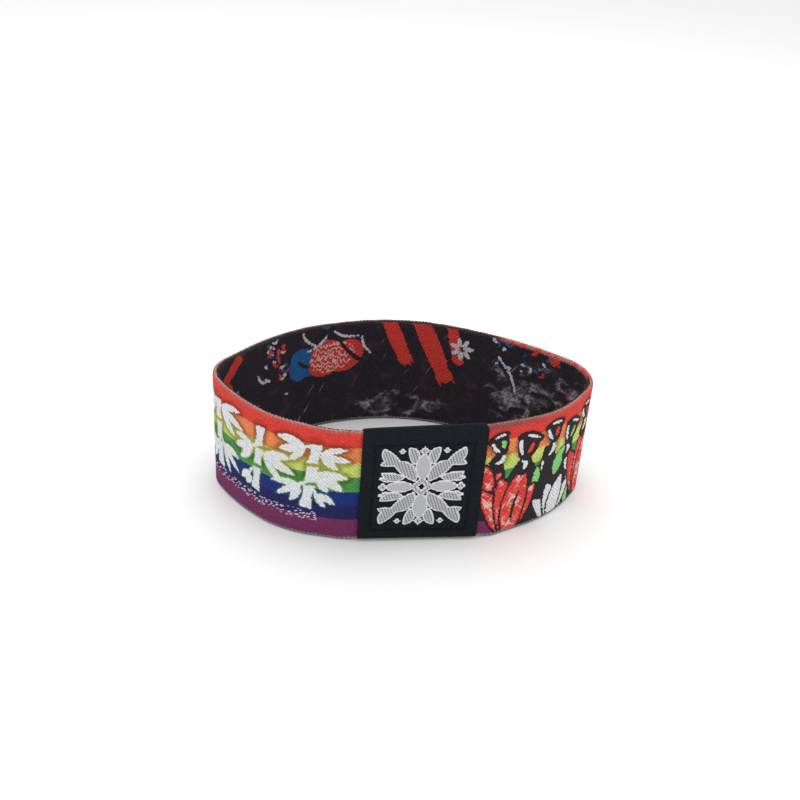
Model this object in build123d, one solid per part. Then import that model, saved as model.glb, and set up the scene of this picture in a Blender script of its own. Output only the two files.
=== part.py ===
"""Elastic bracelet: a printed elastic band standing on its edge, joined under a woven label.

Row frame in millimetres: +Z up, +X towards the loop's longer way, the label on the -Y side.
The origin is the middle of the bracelet's footprint, on the surface that it stands on.
The band is one strip of webbing bent into an oval loop. Its two ends meet behind the label,
which is a woven tape folded round both ends as a flat sleeve and sewn through.
"""

from build123d import *

import math
import os
from collections import namedtuple

# The loop as it stands, measured over the outside of the webbing.
loop_half_length = 38.0
loop_half_depth = 23.6

# The webbing strip.
band_width = 25.0
band_thickness = 1.2
band_edge_round = 0.35
butt_gap = 0.5

# The woven label, two plies of tape sewn as one wall.
label_width = 23.5
label_wall = 1.0
label_clearance = 0.1
label_rise = 0.4
label_fold_round = 0.8
label_mouth_round = 0.25
label_turn_deg = 7.5
label_centre_x_share = 0.114
label_centre_y_share = -0.904

# The flat stretch of webbing that the label covers, and the bend at each end of it.
flat_ease = 0.3
flat_bend_tangent = 2.0

# The webbing is pinched at both edges where the label is folded over it.
pinch_ease = 0.4

# How much of the shorter neighbouring run each bend of the loop takes.
bend_share = 0.49

# Corners of the loop's outline beside the flat stretch, counter-clockwise from the label's right
# end. Each lies at a share of the loop's half length and a share of its half depth.
Corner = namedtuple("Corner", "name x_share y_share")
LOOP_CORNERS = [
    Corner("front_right", 0.834, -0.475),
    Corner("right_end", 1.094, 0.204),
    Corner("back_right", 0.698, 0.707),
    Corner("back", 0.014, 1.117),
    Corner("back_left", -0.663, 0.722),
    Corner("left_end", -1.041, -0.131),
    Corner("low_left", -0.866, -0.541),
    Corner("front_left", -0.600, -0.907),
]


def label_centre():
    """Middle of the flat stretch, on the outer face of the webbing."""
    return Vector(
        label_centre_x_share * loop_half_length,
        label_centre_y_share * loop_half_depth,
    )


def label_direction():
    """Unit vector along the flat stretch, from the label's left side to its right side."""
    turn = math.radians(label_turn_deg)
    return Vector(math.cos(turn), math.sin(turn))


def outline_corners():
    """Corners of the outer outline, counter-clockwise, the two ends of the flat stretch first."""
    reach = label_width / 2 + flat_ease + flat_bend_tangent
    middle = label_centre()
    along = label_direction()
    corners = [middle - along * reach, middle + along * reach]
    for corner in LOOP_CORNERS:
        corners.append(Vector(corner.x_share * loop_half_length, corner.y_share * loop_half_depth))
    return corners


def bend_at(before, corner, after, tangent):
    """Turn angle and radius of the bend that leaves each run at the tangent length."""
    turn = math.radians((corner - before).get_angle(after - corner))
    return turn, tangent / math.tan(turn / 2)


def outline_bends():
    """For each corner: the point, the directions in and out, the turn and the outer radius."""
    corners = outline_corners()
    count = len(corners)
    runs = [(corners[(i + 1) % count] - corners[i]).length for i in range(count)]
    bends = []
    for i, corner in enumerate(corners):
        before = corners[i - 1]
        after = corners[(i + 1) % count]
        tangent = bend_share * min(runs[i - 1], runs[i])
        if i < 2:
            tangent = flat_bend_tangent
        turn, radius = bend_at(before, corner, after, tangent)
        heading_in = (corner - before).normalized()
        heading_out = (after - corner).normalized()
        bends.append((corner, heading_in, heading_out, turn, radius))
    return bends


def loop_face(inset):
    """Plan face inside the outline moved inwards by the inset, built of lines and arcs."""
    arcs = []
    for corner, heading_in, heading_out, turn, outer_radius in outline_bends():
        radius = outer_radius - inset
        to_centre = (heading_out - heading_in).normalized()
        moved = corner + to_centre * (inset / math.cos(turn / 2))
        reach = radius * math.tan(turn / 2)
        crown = moved + to_centre * (radius / math.cos(turn / 2) - radius)
        arcs.append((moved - heading_in * reach, crown, moved + heading_out * reach))
    edges = []
    for i, (start, crown, end) in enumerate(arcs):
        next_start = arcs[(i + 1) % len(arcs)][0]
        edges.append(ThreePointArc(start, crown, end))
        edges.append(Line(end, next_start))
    return make_face(Wire(edges))


def label_plane(depth_from_outer_face):
    """Plane on the floor at the label's middle: X along the label, Y into the loop."""
    along = label_direction()
    inwards = Vector(-along.Y, along.X)
    return Plane(
        origin=label_centre() + inwards * depth_from_outer_face,
        x_dir=along,
        z_dir=(0, 0, 1),
    )


def block(width, depth, low, high):
    """Box centred on its plane's origin in X and Y, between two heights."""
    return Pos(0, 0, (low + high) / 2) * Box(width, depth, high - low)


def make_band():
    """The webbing: an oval wall with rounded edges, pinched under the label and cut at the butt."""
    wall = extrude(loop_face(0) - loop_face(band_thickness), amount=band_width)
    levels = wall.edges().group_by(Axis.Z)
    wall = fillet(levels[0] + levels[-1], band_edge_round)

    middle = label_plane(band_thickness / 2)
    pinch_length = label_width + 2 * pinch_ease
    through = 3 * band_thickness
    pinch_low = label_wall + label_clearance
    pinch_high = band_width + label_rise - label_wall - label_clearance
    low_pinch = block(pinch_length, through, -band_width, pinch_low)
    high_pinch = block(pinch_length, through, pinch_high, 2 * band_width)
    butt = block(butt_gap, through, -band_width, 2 * band_width)
    return wall - middle * low_pinch - middle * high_pinch - middle * butt


def make_label():
    """The woven label: a flat sleeve round the webbing, folded at its top and bottom."""
    inner_depth = band_thickness + 2 * label_clearance
    outer_depth = inner_depth + 2 * label_wall
    top = band_width + label_rise
    body = block(label_width, outer_depth, 0, top)
    body = fillet(body.edges().filter_by(Axis.X), label_fold_round)
    body -= block(2 * label_width, inner_depth, label_wall, top - label_wall)
    mouths = body.faces().filter_by(Axis.X)
    rims = [edge for face in mouths for edge in face.outer_wire().edges()]
    body = fillet(rims, label_mouth_round)
    return label_plane(band_thickness / 2) * body


def main():
    """Builds both pieces, centres them over the origin and writes one STEP file for each."""
    pieces = {"elastic_band": make_band(), "woven_label": make_label()}
    box = Compound(list(pieces.values())).bounding_box()
    centred = Pos(-box.center().X, -box.center().Y, -box.min.Z)
    os.makedirs("parts", exist_ok=True)
    for name, piece in pieces.items():
        export_step(centred * piece, f"parts/{name}.step")
    run = loop_face(band_thickness / 2).face().outer_wire().length
    print(f"webbing length {run:.1f} mm, footprint {box.size.X:.1f} by {box.size.Y:.1f} mm")


main()
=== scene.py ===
"""Elastic bracelet: a printed elastic wristband standing on its edge, joined under a woven label.

Everything that is placed is in metres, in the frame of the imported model: +Z up, the label on the -Y
side. Print and weave are worked out in millimetres on cloth that lies flat: s runs along the strip
from the middle of the label towards the viewer's right, and v runs up from the lower edge.
"""

import logging
import math
from collections.abc import Callable, Iterator, Sequence
from dataclasses import dataclass, field
from enum import Enum
from functools import cached_property
from itertools import product
from typing import ClassVar, NamedTuple, Self

import bpy
import numpy as np
from mathutils import Euler, Matrix, Vector

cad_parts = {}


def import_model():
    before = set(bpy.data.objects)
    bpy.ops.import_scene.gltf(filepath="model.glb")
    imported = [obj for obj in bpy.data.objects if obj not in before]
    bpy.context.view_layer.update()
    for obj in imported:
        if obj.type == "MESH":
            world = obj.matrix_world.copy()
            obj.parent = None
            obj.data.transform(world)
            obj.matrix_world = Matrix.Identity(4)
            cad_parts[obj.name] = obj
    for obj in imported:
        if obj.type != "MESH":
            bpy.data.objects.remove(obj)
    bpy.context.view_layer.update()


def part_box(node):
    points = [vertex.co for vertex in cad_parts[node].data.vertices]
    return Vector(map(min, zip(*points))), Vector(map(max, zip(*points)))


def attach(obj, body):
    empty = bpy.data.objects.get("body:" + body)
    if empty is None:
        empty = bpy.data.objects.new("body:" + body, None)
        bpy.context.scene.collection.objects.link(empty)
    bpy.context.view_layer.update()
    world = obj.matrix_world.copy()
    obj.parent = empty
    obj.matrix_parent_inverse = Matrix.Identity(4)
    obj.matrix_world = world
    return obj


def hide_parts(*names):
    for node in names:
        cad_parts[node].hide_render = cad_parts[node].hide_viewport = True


LOG = logging.getLogger("bracelet")
MM = 0.001
# depth of a place that no shape comes near
FAR = -9.0
BAND_NODE = "elastic_band"
LABEL_NODE = "woven_label"
FLAT_PLACE = "flat_place"
# in millimetres, as the print and the weave are
WEBBING_WIDTH = 25.0

Point = tuple[float, float]
Triple = tuple[float, float, float]
Array = np.ndarray
Piece = bpy.types.Object
Socket = bpy.types.NodeSocket


class Tint(NamedTuple):
    """A screen colour, each part from 0 to 255."""

    red: int
    green: int
    blue: int

    @property
    def linear(self) -> tuple[float, float, float, float]:
        """The linear colour that a shader takes, with an alpha of 1."""
        shares = [value / 255 for value in self]
        return *(x / 12.92 if x <= 0.04045 else ((x + 0.055) / 1.055) ** 2.4 for x in shares), 1.0


class Ink(Enum):
    """Printed or woven colours, each kept on the mesh as a distance field of this name."""

    BLACK = "ink_black"
    RED = "ink_red"
    GREEN = "ink_green"
    BLUE = "ink_blue"
    WHITE = "ink_white"
    HATCH = "region_hatch"
    SMOKE = "region_smoke"
    SILVER = "thread_silver"
    FLOATS = "thread_floats"


# each ink lies over the ones before it, and the regions hold a pattern of their own
PRINT_INKS = (Ink.BLACK, Ink.RED, Ink.GREEN, Ink.BLUE, Ink.WHITE)
PRINT_REGIONS = (Ink.HATCH, Ink.SMOKE)


class Part(Enum):
    """Where a face of the webbing lies, as the index of its material."""

    OUTER = 0
    INNER = 1


# Flat shapes, as signed distances in millimetres that are positive inside


@dataclass(frozen=True)
class Brush:
    """A stroke along a bent line, with its own width at the start, the middle and the end."""

    start: Point
    end: Point
    widths: Triple
    bend: float = 0.0
    steps: ClassVar[int] = 10

    def spine(self) -> Array:
        """Points along the middle of the stroke.

        Returns:
            One row of s and v for each point.
        """
        a, b = np.array(self.start), np.array(self.end)
        across = np.array([a[1] - b[1], b[0] - a[0]]) / max(np.hypot(*(b - a)), 1e-6)
        middle = (a + b) / 2 + 2 * self.bend * across
        t = np.linspace(0, 1, self.steps + 1)[:, None]
        return (1 - t) ** 2 * a + 2 * t * (1 - t) * middle + t**2 * b

    def reach(self) -> tuple[Array, Array]:
        """Lowest and highest corner of the area that the stroke can touch."""
        line, most = self.spine(), max(self.widths) / 2
        return line.min(0) - most, line.max(0) + most

    def depth(self, s: Array, v: Array) -> Array:
        """Depth inside the stroke.

        Args:
            s: Places along the cloth, in millimetres.
            v: Places up the cloth, in millimetres.

        Returns:
            The depth at each place, negative outside.
        """
        line = self.spine()
        first, middle, last = (width / 2 for width in self.widths)
        t = np.linspace(0, 1, self.steps + 1)
        radii = first * (1 - t) ** 2 + last * t**2 + 2 * t * (1 - t) * (2 * middle - (first + last) / 2)
        best = np.full(len(s), FAR)
        for (x0, y0), (x1, y1), r0, r1 in zip(line, line[1:], radii, radii[1:]):
            dx, dy = x1 - x0, y1 - y0
            along = ((s - x0) * dx + (v - y0) * dy) / max(dx * dx + dy * dy, 1e-9)
            along = along.clip(0, 1)
            off = np.hypot(s - x0 - along * dx, v - y0 - along * dy)
            best = np.maximum(best, r0 + (r1 - r0) * along - off)
        return best


@dataclass(frozen=True)
class Oval:
    """An ellipse, turned by an angle."""

    centre: Point
    radii: Point
    turn_deg: float = 0.0

    def reach(self) -> tuple[Array, Array]:
        """Lowest and highest corner of the area that the oval can touch."""
        centre, most = np.array(self.centre), max(self.radii)
        return centre - most, centre + most

    def depth(self, s: Array, v: Array) -> Array:
        """Depth inside the oval.

        Args:
            s: Places along the cloth, in millimetres.
            v: Places up the cloth, in millimetres.

        Returns:
            The depth at each place, negative outside.
        """
        turn = math.radians(self.turn_deg)
        x, y = s - self.centre[0], v - self.centre[1]
        across = (x * math.cos(turn) + y * math.sin(turn)) / self.radii[0]
        up = (y * math.cos(turn) - x * math.sin(turn)) / self.radii[1]
        share = np.hypot(across, up)
        slope = np.hypot(across / self.radii[0], up / self.radii[1])
        return (1 - share) * share / np.maximum(slope, 1e-6)


@dataclass(frozen=True)
class Lozenge:
    """A square that stands on one corner."""

    centre: Point
    half_side: float

    def reach(self) -> tuple[Array, Array]:
        """Lowest and highest corner of the area that the lozenge can touch."""
        centre, most = np.array(self.centre), math.sqrt(2) * self.half_side
        return centre - most, centre + most

    def depth(self, s: Array, v: Array) -> Array:
        """Depth inside the lozenge at places s along and v up the cloth, in millimetres."""
        return self.half_side - (abs(s - self.centre[0]) + abs(v - self.centre[1])) / math.sqrt(2)


Shape = Brush | Oval | Lozenge


class Field:
    """A distance field over the flat places of a mesh, for one ink."""

    # how far outside a shape its distance is still worked out, in millimetres
    spare: ClassVar[float] = 2.5

    def __init__(self, places: Array) -> None:
        """Starts with no shape over places given as rows of s and v, in millimetres."""
        self.places = places
        self.depth = np.full(len(places), FAR)

    def _inside(self, shape: Shape, grow: float) -> tuple[Array, Array]:
        """Works out where a shape lies.

        Args:
            shape: The shape.
            grow: How much larger it is all round, in millimetres.

        Returns:
            The vertices near it, and their depth inside it.
        """
        low, high = shape.reach()
        close = (self.places > low - self.spare) & (self.places < high + self.spare)
        near = np.flatnonzero(close.all(axis=1))
        return near, shape.depth(*self.places[near].T) + grow

    def join(self, shape: Shape, grow: float = 0.0) -> None:
        """Adds a shape that is larger all round by grow, in millimetres."""
        near, depth = self._inside(shape, grow)
        self.depth[near] = np.maximum(self.depth[near], depth)

    def carve(self, shape: Shape, grow: float = 0.0) -> None:
        """Takes away a shape that is larger all round by grow, in millimetres."""
        near, depth = self._inside(shape, grow)
        self.depth[near] = np.minimum(self.depth[near], -depth)


class Artwork:
    """The distance fields of all inks on one mesh."""

    overlap: ClassVar[float] = 0.08

    def __init__(self, places: Array) -> None:
        """Makes one empty field for each ink over places given as rows of s and v."""
        self.fields = {ink: Field(places) for ink in Ink}

    def paint(self, ink: Ink, *shapes: Shape, grow: float = 0.0) -> None:
        """Paints shapes over what is there.

        Args:
            ink: The ink to paint with.
            shapes: The shapes.
            grow: How much larger they are all round, in millimetres.
        """
        above = PRINT_INKS[PRINT_INKS.index(ink) + 1:] + (Ink.HATCH,)
        for shape in shapes:
            self.fields[ink].join(shape, grow)
            for other in above:
                self.fields[other].carve(shape, grow - self.overlap)

    def carve(self, ink: Ink, *shapes: Shape) -> None:
        """Takes shapes out of an ink."""
        for shape in shapes:
            self.fields[ink].carve(shape)


# Motifs of the print


def outward(centre: Point, angle: float, start: float, end: float,
            widths: Triple, bend: float = 0.0) -> Brush:
    """A stroke that points away from a centre.

    Args:
        centre: The centre, in millimetres.
        angle: Its direction, in radians.
        start: How far from the centre it starts.
        end: How far from the centre it ends.
        widths: Its widths.
        bend: How far it bends aside.

    Returns:
        The stroke.
    """
    across, up = math.cos(angle), math.sin(angle)
    x, y = centre
    return Brush((x + start * across, y + start * up), (x + end * across, y + end * up), widths, bend)


@dataclass(frozen=True)
class Culm:
    """A jointed bamboo stalk in flat white strokes."""

    foot: Point
    top: Point
    width: float = 2.2
    joints: int = 3
    shortening: ClassVar[float] = 0.9
    flare: ClassVar[float] = 1.1
    waist: ClassVar[float] = 0.8

    def draw(self, art: Artwork) -> None:
        """Draws the stalk, parts it at its joints and cuts its ends off aslant.

        Args:
            art: The face to draw on.
        """
        a, b = np.array(self.foot), np.array(self.top)
        shares = [(number / self.joints) ** self.shortening for number in range(self.joints + 1)]
        knots = [a + (b - a) * share for share in shares]
        wide = self.width
        widths = (self.flare * wide, self.waist * wide, self.flare * wide)
        for low, high in zip(knots, knots[1:]):
            art.paint(Ink.WHITE, Brush(tuple(low), tuple(high), widths))
        for x, y in knots[1:-1]:
            art.carve(Ink.WHITE, Brush((x - wide, y - 0.1), (x + wide, y + 0.6), (0.6, 0.8, 0.6), -0.25))
        for (x, y), side in ((knots[0], -1), (knots[-1], 1)):
            cut = Brush((x - wide, y + side * 1.2), (x + wide, y + side * 1.8), (2.0, 2.0, 2.0))
            art.carve(Ink.WHITE, cut)


@dataclass(frozen=True)
class LeafFan:
    """Brushed leaves, pointed at both ends, that spread from one knot."""

    knot: Point
    heading_deg: float
    leaves: int = 3
    reach: float = 6.2
    spread_deg: float = 29.0
    width: float = 1.6

    def draw(self, art: Artwork) -> None:
        """Draws a thin twig and the leaves, each bent away from the fan's middle.

        Args:
            art: The face to draw on.
        """
        heading = math.radians(self.heading_deg)
        art.paint(Ink.WHITE, outward(self.knot, heading + math.pi, 0.0, 1.6, (0.7, 0.6, 0.5)))
        for number in range(self.leaves):
            aside = number - (self.leaves - 1) / 2
            angle = heading + math.radians(self.spread_deg) * aside
            reach = self.reach * (1 - 0.1 * abs(aside) + 0.14 * math.sin(7.3 * number + self.knot[0]))
            start = 0.5 + 0.5 * (number % 2)
            widths = (0.8, self.width * (1 + 0.16 * math.sin(5.1 * number + self.knot[1])), 0.15)
            art.paint(Ink.WHITE, outward(self.knot, angle, start, reach, widths, 0.3 * aside))


@dataclass(frozen=True)
class Lotus:
    """A flower seen from its side: long petals that rise from one foot, lapping over each other."""

    foot: Point
    reach: float
    petals: tuple[Triple, ...]
    ink: Ink = Ink.RED
    outline: float = 0.55

    def draw(self, art: Artwork) -> None:
        """Draws the petals from the back to the front, each over dark, with one fold.

        Args:
            art: The face to draw on.
        """
        for lean_deg, share, wide in self.petals:
            angle, far = math.radians(90 - lean_deg), share * self.reach
            bend = 0.03 * far * math.copysign(1, lean_deg)
            petal = outward(self.foot, angle, 0.12 * far, far, (0.55 * wide, wide, 0.26 * wide), bend)
            art.paint(Ink.BLACK, petal, grow=self.outline)
            art.paint(self.ink, petal)
            if self.ink is Ink.RED:
                art.fields[Ink.HATCH].join(petal, -0.35)
            if wide > 5.0:
                fold = outward(self.foot, angle - 0.03, 0.25 * far, 0.72 * far, (0.4, 0.72, 0.3), bend)
                art.carve(self.ink, fold)
                art.carve(Ink.HATCH, fold)


@dataclass(frozen=True)
class Pod:
    """A dark seed pod like a cup on a stem, brushed with lights."""

    centre: Point
    radius: float
    lean_deg: float
    stem: Point
    spot: Ink = Ink.RED

    def _at(self, across: float, up: float) -> Point:
        """A place on the pod.

        Args:
            across: How far it lies across the pod's lean, as a share of the radius.
            up: How far it lies along the lean, as a share of the radius.

        Returns:
            The place.
        """
        turn = math.radians(self.lean_deg - 90)
        x, y = self.radius * across, self.radius * up
        return (self.centre[0] + x * math.cos(turn) - y * math.sin(turn),
                self.centre[1] + x * math.sin(turn) + y * math.cos(turn))

    def draw(self, art: Artwork) -> None:
        """Draws the stem, the cup, its flat top, two lights and a stroke of colour.

        Args:
            art: The face to draw on.
        """
        size, turn = self.radius, self.lean_deg - 90
        art.paint(Ink.BLACK, Brush(self.centre, self.stem, (2.2, 2.0, 3.2), 0.4))
        art.paint(Ink.WHITE, Brush(self._at(0, -1.4), self.stem, (0.7, 1.0, 0.4), 0.5))
        cup = (1.9 * size, 1.6 * size, 1.1 * size)
        art.paint(Ink.BLACK, Brush(self._at(0, 0.1), self._at(0, -0.9), cup))
        art.paint(Ink.BLACK, Oval(self._at(0, 0.45), (1.16 * size, 0.56 * size), turn))
        art.paint(Ink.WHITE, Brush(self._at(-0.7, 0.16), self._at(-0.3, -0.86), (0.66, 0.8, 0.4), -0.2))
        art.paint(Ink.WHITE, Brush(self._at(-0.24, 0.64), self._at(0.76, 0.5), (0.4, 0.62, 0.3), 0.1))
        art.paint(self.spot, Brush(self._at(0.34, 0.02), self._at(0.16, -0.72), (0.6, 1.0, 0.4), 0.15))


@dataclass(frozen=True)
class Leaf:
    """A broad leaf in one ink, dark by default, with a ragged light along its rib."""

    foot: Point
    tip: Point
    widths: Triple
    bend: float = 0.0
    ink: Ink = Ink.BLACK
    light: bool = False

    def draw(self, art: Artwork) -> None:
        """Draws the leaf over a dark rim.

        Args:
            art: The face to draw on.
        """
        shape = Brush(self.foot, self.tip, self.widths, self.bend)
        if self.ink is not Ink.BLACK:
            art.paint(Ink.BLACK, shape, grow=0.34)
        art.paint(self.ink, shape)
        if self.light:
            a, b = np.array(self.foot), np.array(self.tip)
            for start, end, width in ((0.3, 0.46, 0.7), (0.56, 0.84, 1.1)):
                aside = np.array([0.9, 0.1]) * (0.8 - width)
                stroke = Brush(tuple(a + start * (b - a) + aside), tuple(a + end * (b - a) + 2 * aside),
                               (0.5, width, 0.3), 0.5 * self.bend)
                art.paint(Ink.WHITE, stroke)


@dataclass(frozen=True)
class BrushSlash:
    """One bold slash of a dry brush, with split ends."""

    start: Point
    end: Point
    width: float
    ink: Ink = Ink.RED
    seed: int = 1

    def draw(self, art: Artwork) -> None:
        """Draws the slash and the dry hairs at its ends.

        Args:
            art: The face to draw on.
        """
        rng = np.random.default_rng(self.seed)
        art.paint(self.ink, Brush(self.start, self.end, (0.8 * self.width, self.width, 0.7 * self.width)))
        a, b = np.array(self.start), np.array(self.end)
        along = (b - a) / np.hypot(*(b - a))
        aside = np.array([-along[1], along[0]])
        for end, way in ((a, -along), (b, along)):
            for offset in np.linspace(-0.4, 0.4, 5) * self.width:
                foot = end + aside * offset - way * 0.8
                tip = end + aside * offset + way * rng.uniform(0.2, 1.1) * self.width * 0.6
                art.paint(self.ink, Brush(tuple(foot), tuple(tip), (0.7, 0.5, 0.15)))


# The loop in plan


@dataclass(frozen=True)
class Bend:
    """One bend of the loop: an arc between two straight runs."""

    start: Vector
    end: Vector
    heading_in: Vector
    heading_out: Vector
    turn: float
    radius: float

    @property
    def handle(self) -> float:
        """Length of the handles of one Bezier segment that follows the arc."""
        return 4 / 3 * math.tan(self.turn / 4) * self.radius


@dataclass(frozen=True)
class LoopPlan:
    """Plan of the loop, of lines and arcs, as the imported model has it."""

    half_length: float = 38.0 * MM
    half_depth: float = 23.6 * MM
    label_width: float = 23.5 * MM
    label_turn_deg: float = 7.5
    label_centre: Point = (0.114, -0.904)
    flat_ease: float = 0.3 * MM
    flat_bend_tangent: float = 2.0 * MM
    bend_share: float = 0.49
    # the loop's corners beside the label, counter-clockwise, as shares of its half length and depth
    corners: tuple[Point, ...] = (
        (0.834, -0.475),
        (1.094, 0.204),
        (0.698, 0.707),
        (0.014, 1.117),
        (-0.663, 0.722),
        (-1.041, -0.131),
        (-0.866, -0.541),
        (-0.600, -0.907),
    )

    @property
    def label_along(self) -> Vector:
        """Direction along the label, towards the viewer's right."""
        turn = math.radians(self.label_turn_deg)
        return Vector((math.cos(turn), math.sin(turn)))

    @property
    def label_inwards(self) -> Vector:
        """Direction from the label into the loop."""
        return Vector((-self.label_along.y, self.label_along.x))

    def _at(self, shares: Point) -> Vector:
        """Place at shares of the loop's half length and half depth."""
        return Vector((shares[0] * self.half_length, shares[1] * self.half_depth))

    def bends(self, inset: float) -> list[Bend]:
        """Bends of the outline moved inwards.

        Args:
            inset: How far inside the outer face the line runs, in metres.

        Returns:
            The bends, counter-clockwise, the first at the label's left end.
        """
        reach = self.label_width / 2 + self.flat_ease + self.flat_bend_tangent
        middle = self._at(self.label_centre)
        points = [middle - self.label_along * reach, middle + self.label_along * reach]
        points += [self._at(shares) for shares in self.corners]
        runs = [(points[(i + 1) % len(points)] - p).length for i, p in enumerate(points)]
        found = []
        for i, corner in enumerate(points):
            tangent = self.flat_bend_tangent if i < 2 else self.bend_share * min(runs[i - 1], runs[i])
            heading_in = (corner - points[i - 1]).normalized()
            heading_out = (points[(i + 1) % len(points)] - corner).normalized()
            turn = heading_in.angle(heading_out)
            radius = tangent / math.tan(turn / 2) - inset
            inwards = (heading_out - heading_in).normalized()
            moved = corner + inwards * (inset / math.cos(turn / 2))
            span = radius * math.tan(turn / 2)
            ends = (moved - heading_in * span, moved + heading_out * span)
            found.append(Bend(*ends, heading_in, heading_out, turn, radius))
        return found

    def length(self, inset: float) -> float:
        """Length of the closed line.

        Args:
            inset: How far inside the outer face the line runs, in metres.

        Returns:
            The length, in metres.
        """
        bends = self.bends(inset)
        straight = sum((bend.start - bends[i - 1].end).length for i, bend in enumerate(bends))
        return straight + sum(bend.turn * bend.radius for bend in bends)

    def label_middle(self, inset: float) -> Vector:
        """Middle of the flat stretch under the label."""
        return self._at(self.label_centre) + self.label_inwards * inset

    def shift(self) -> Vector:
        """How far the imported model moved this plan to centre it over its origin.

        Returns:
            The move, in metres.
        """
        low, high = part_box(BAND_NODE)
        guide = self.guide(0.0)
        spots = vertex_places(bpy.data.meshes.new_from_object(guide))
        remove(guide)
        middle = (spots.min(axis=0) + spots.max(axis=0)) / 2
        return Vector(((low[0] + high[0]) / 2 - middle[0], (low[1] + high[1]) / 2 - middle[1]))

    def guide(self, inset: float) -> Piece:
        """A closed Bezier curve that starts and ends at the label's middle.

        Args:
            inset: How far inside the outer face the curve runs, in metres.

        Returns:
            The curve's object.
        """
        knots: list[tuple[Vector, Vector, float | None, float | None]] = []
        bends = self.bends(inset)
        for bend in bends[1:] + bends[:1]:
            knots.append((bend.start, bend.heading_in, None, bend.handle))
            knots.append((bend.end, bend.heading_out, bend.handle, None))
        # a closed curve's path starts at its last point
        knots.append((self.label_middle(inset), self.label_along, None, None))
        curve = bpy.data.curves.new("loop_guide", "CURVE")
        curve.dimensions = "3D"
        curve.twist_mode = "Z_UP"
        spline = curve.splines.new("BEZIER")
        spline.bezier_points.add(len(knots) - 1)
        for i, (place, heading, back, ahead) in enumerate(knots):
            following = knots[(i + 1) % len(knots)][0]
            back = (place - knots[i - 1][0]).length / 3 if back is None else back
            ahead = (following - place).length / 3 if ahead is None else ahead
            point = spline.bezier_points[i]
            point.handle_left_type = point.handle_right_type = "FREE"
            point.co = place.to_3d()
            point.handle_left = (place - heading * back).to_3d()
            point.handle_right = (place + heading * ahead).to_3d()
        spline.use_cyclic_u = True
        spline.resolution_u = curve.resolution_u = 64
        return link(bpy.data.objects.new("loop_guide", curve))


# Small helpers for modelling by hand


def remove(thing: Piece) -> None:
    """Deletes an object."""
    bpy.data.objects.remove(thing, do_unlink=True)


def link(thing: Piece) -> Piece:
    """Puts a new object into the scene and gives it back."""
    bpy.context.scene.collection.objects.link(thing)
    return thing


def select(*things: Piece) -> None:
    """Makes things the only selected objects, and the first of them the active one.

    Args:
        things: The objects, or none to clear the selection.
    """
    for other in bpy.context.selected_objects:
        other.select_set(False)
    for thing in things:
        thing.select_set(True)
    bpy.context.view_layer.objects.active = things[0] if things else None


def add_box(name: str, low: Sequence[float], high: Sequence[float]) -> Piece:
    """Adds a cube at its size and place, with its place in its mesh.

    Args:
        name: Name of the object.
        low: Lowest corner, in metres.
        high: Highest corner, in metres.

    Returns:
        The box, selected and active.
    """
    select()
    centre = [(a + b) / 2 for a, b in zip(low, high)]
    bpy.ops.mesh.primitive_cube_add(size=1, location=centre, scale=[b - a for a, b in zip(low, high)])
    box = bpy.context.object
    box.name = box.data.name = name
    bpy.ops.object.transform_apply(location=True, rotation=False, scale=True)
    return box


def unpick(thing: Piece, *modes: bool) -> bpy.types.Mesh:
    """Clears the selection inside a mesh.

    Args:
        thing: The object.
        modes: Whether vertices, edges and faces are what is picked next.

    Returns:
        The object's mesh.
    """
    bpy.context.tool_settings.mesh_select_mode = modes
    for parts in (thing.data.vertices, thing.data.edges, thing.data.polygons):
        parts.foreach_set("select", [False] * len(parts))
    return thing.data


def pick_edges(thing: Piece, wanted: Callable[[Vector, Vector], bool]) -> None:
    """Selects the edges of a mesh whose two ends are wanted, in object mode.

    Args:
        thing: The object.
        wanted: Says whether an edge between two places is wanted.
    """
    mesh = unpick(thing, False, True, False)
    for edge in mesh.edges:
        edge.select = wanted(*(mesh.vertices[i].co for i in edge.vertices))


def pick_faces(thing: Piece, wanted: Callable[[Vector], bool]) -> None:
    """Selects the faces of a mesh whose normals are wanted, in object mode."""
    for face in unpick(thing, False, False, True).polygons:
        face.select = wanted(face.normal)


def edit(operator: Callable[..., set[str]], **settings: object) -> None:
    """Runs one operator in edit mode on what is selected.

    Args:
        operator: The operator.
        settings: Its settings.
    """
    bpy.ops.object.mode_set(mode="EDIT")
    operator(**settings)
    bpy.ops.object.mode_set(mode="OBJECT")


def cut_along(thing: Piece, axis: int, longer: float, cuts: int,
              where: Callable[[Vector], bool] = lambda middle: True) -> None:
    """Cuts each chosen edge that runs along an axis into equal lengths.

    Args:
        thing: The object.
        axis: 0 for X, 1 for Y and 2 for Z.
        longer: Edges are cut only if they reach further than this along the axis, in metres.
        cuts: How many cuts each edge gets.
        where: Says whether an edge with this middle is cut.
    """
    pick_edges(thing, lambda a, b: abs(a[axis] - b[axis]) > longer and where((a + b) / 2))
    edit(bpy.ops.mesh.subdivide, number_cuts=cuts)


def apply(thing: Piece, kind: str, **settings: object) -> None:
    """Adds a modifier with settings and applies it.

    Args:
        thing: The object.
        kind: The modifier's type.
        settings: The modifier's properties.
    """
    select(thing)
    modifier = thing.modifiers.new(kind.lower(), kind)
    for name, value in settings.items():
        setattr(modifier, name, value)
    bpy.ops.object.modifier_apply(modifier=modifier.name)


def vertex_places(mesh: bpy.types.Mesh) -> Array:
    """Places of a mesh's vertices.

    Args:
        mesh: The mesh.

    Returns:
        One row for each vertex, in metres.
    """
    places = np.empty(3 * len(mesh.vertices))
    mesh.vertices.foreach_get("co", places)
    return places.reshape(-1, 3)


def set_places(mesh: bpy.types.Mesh, places: Array) -> None:
    """Moves the vertices to new places, in metres."""
    mesh.vertices.foreach_set("co", places.ravel())
    mesh.update()


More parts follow.
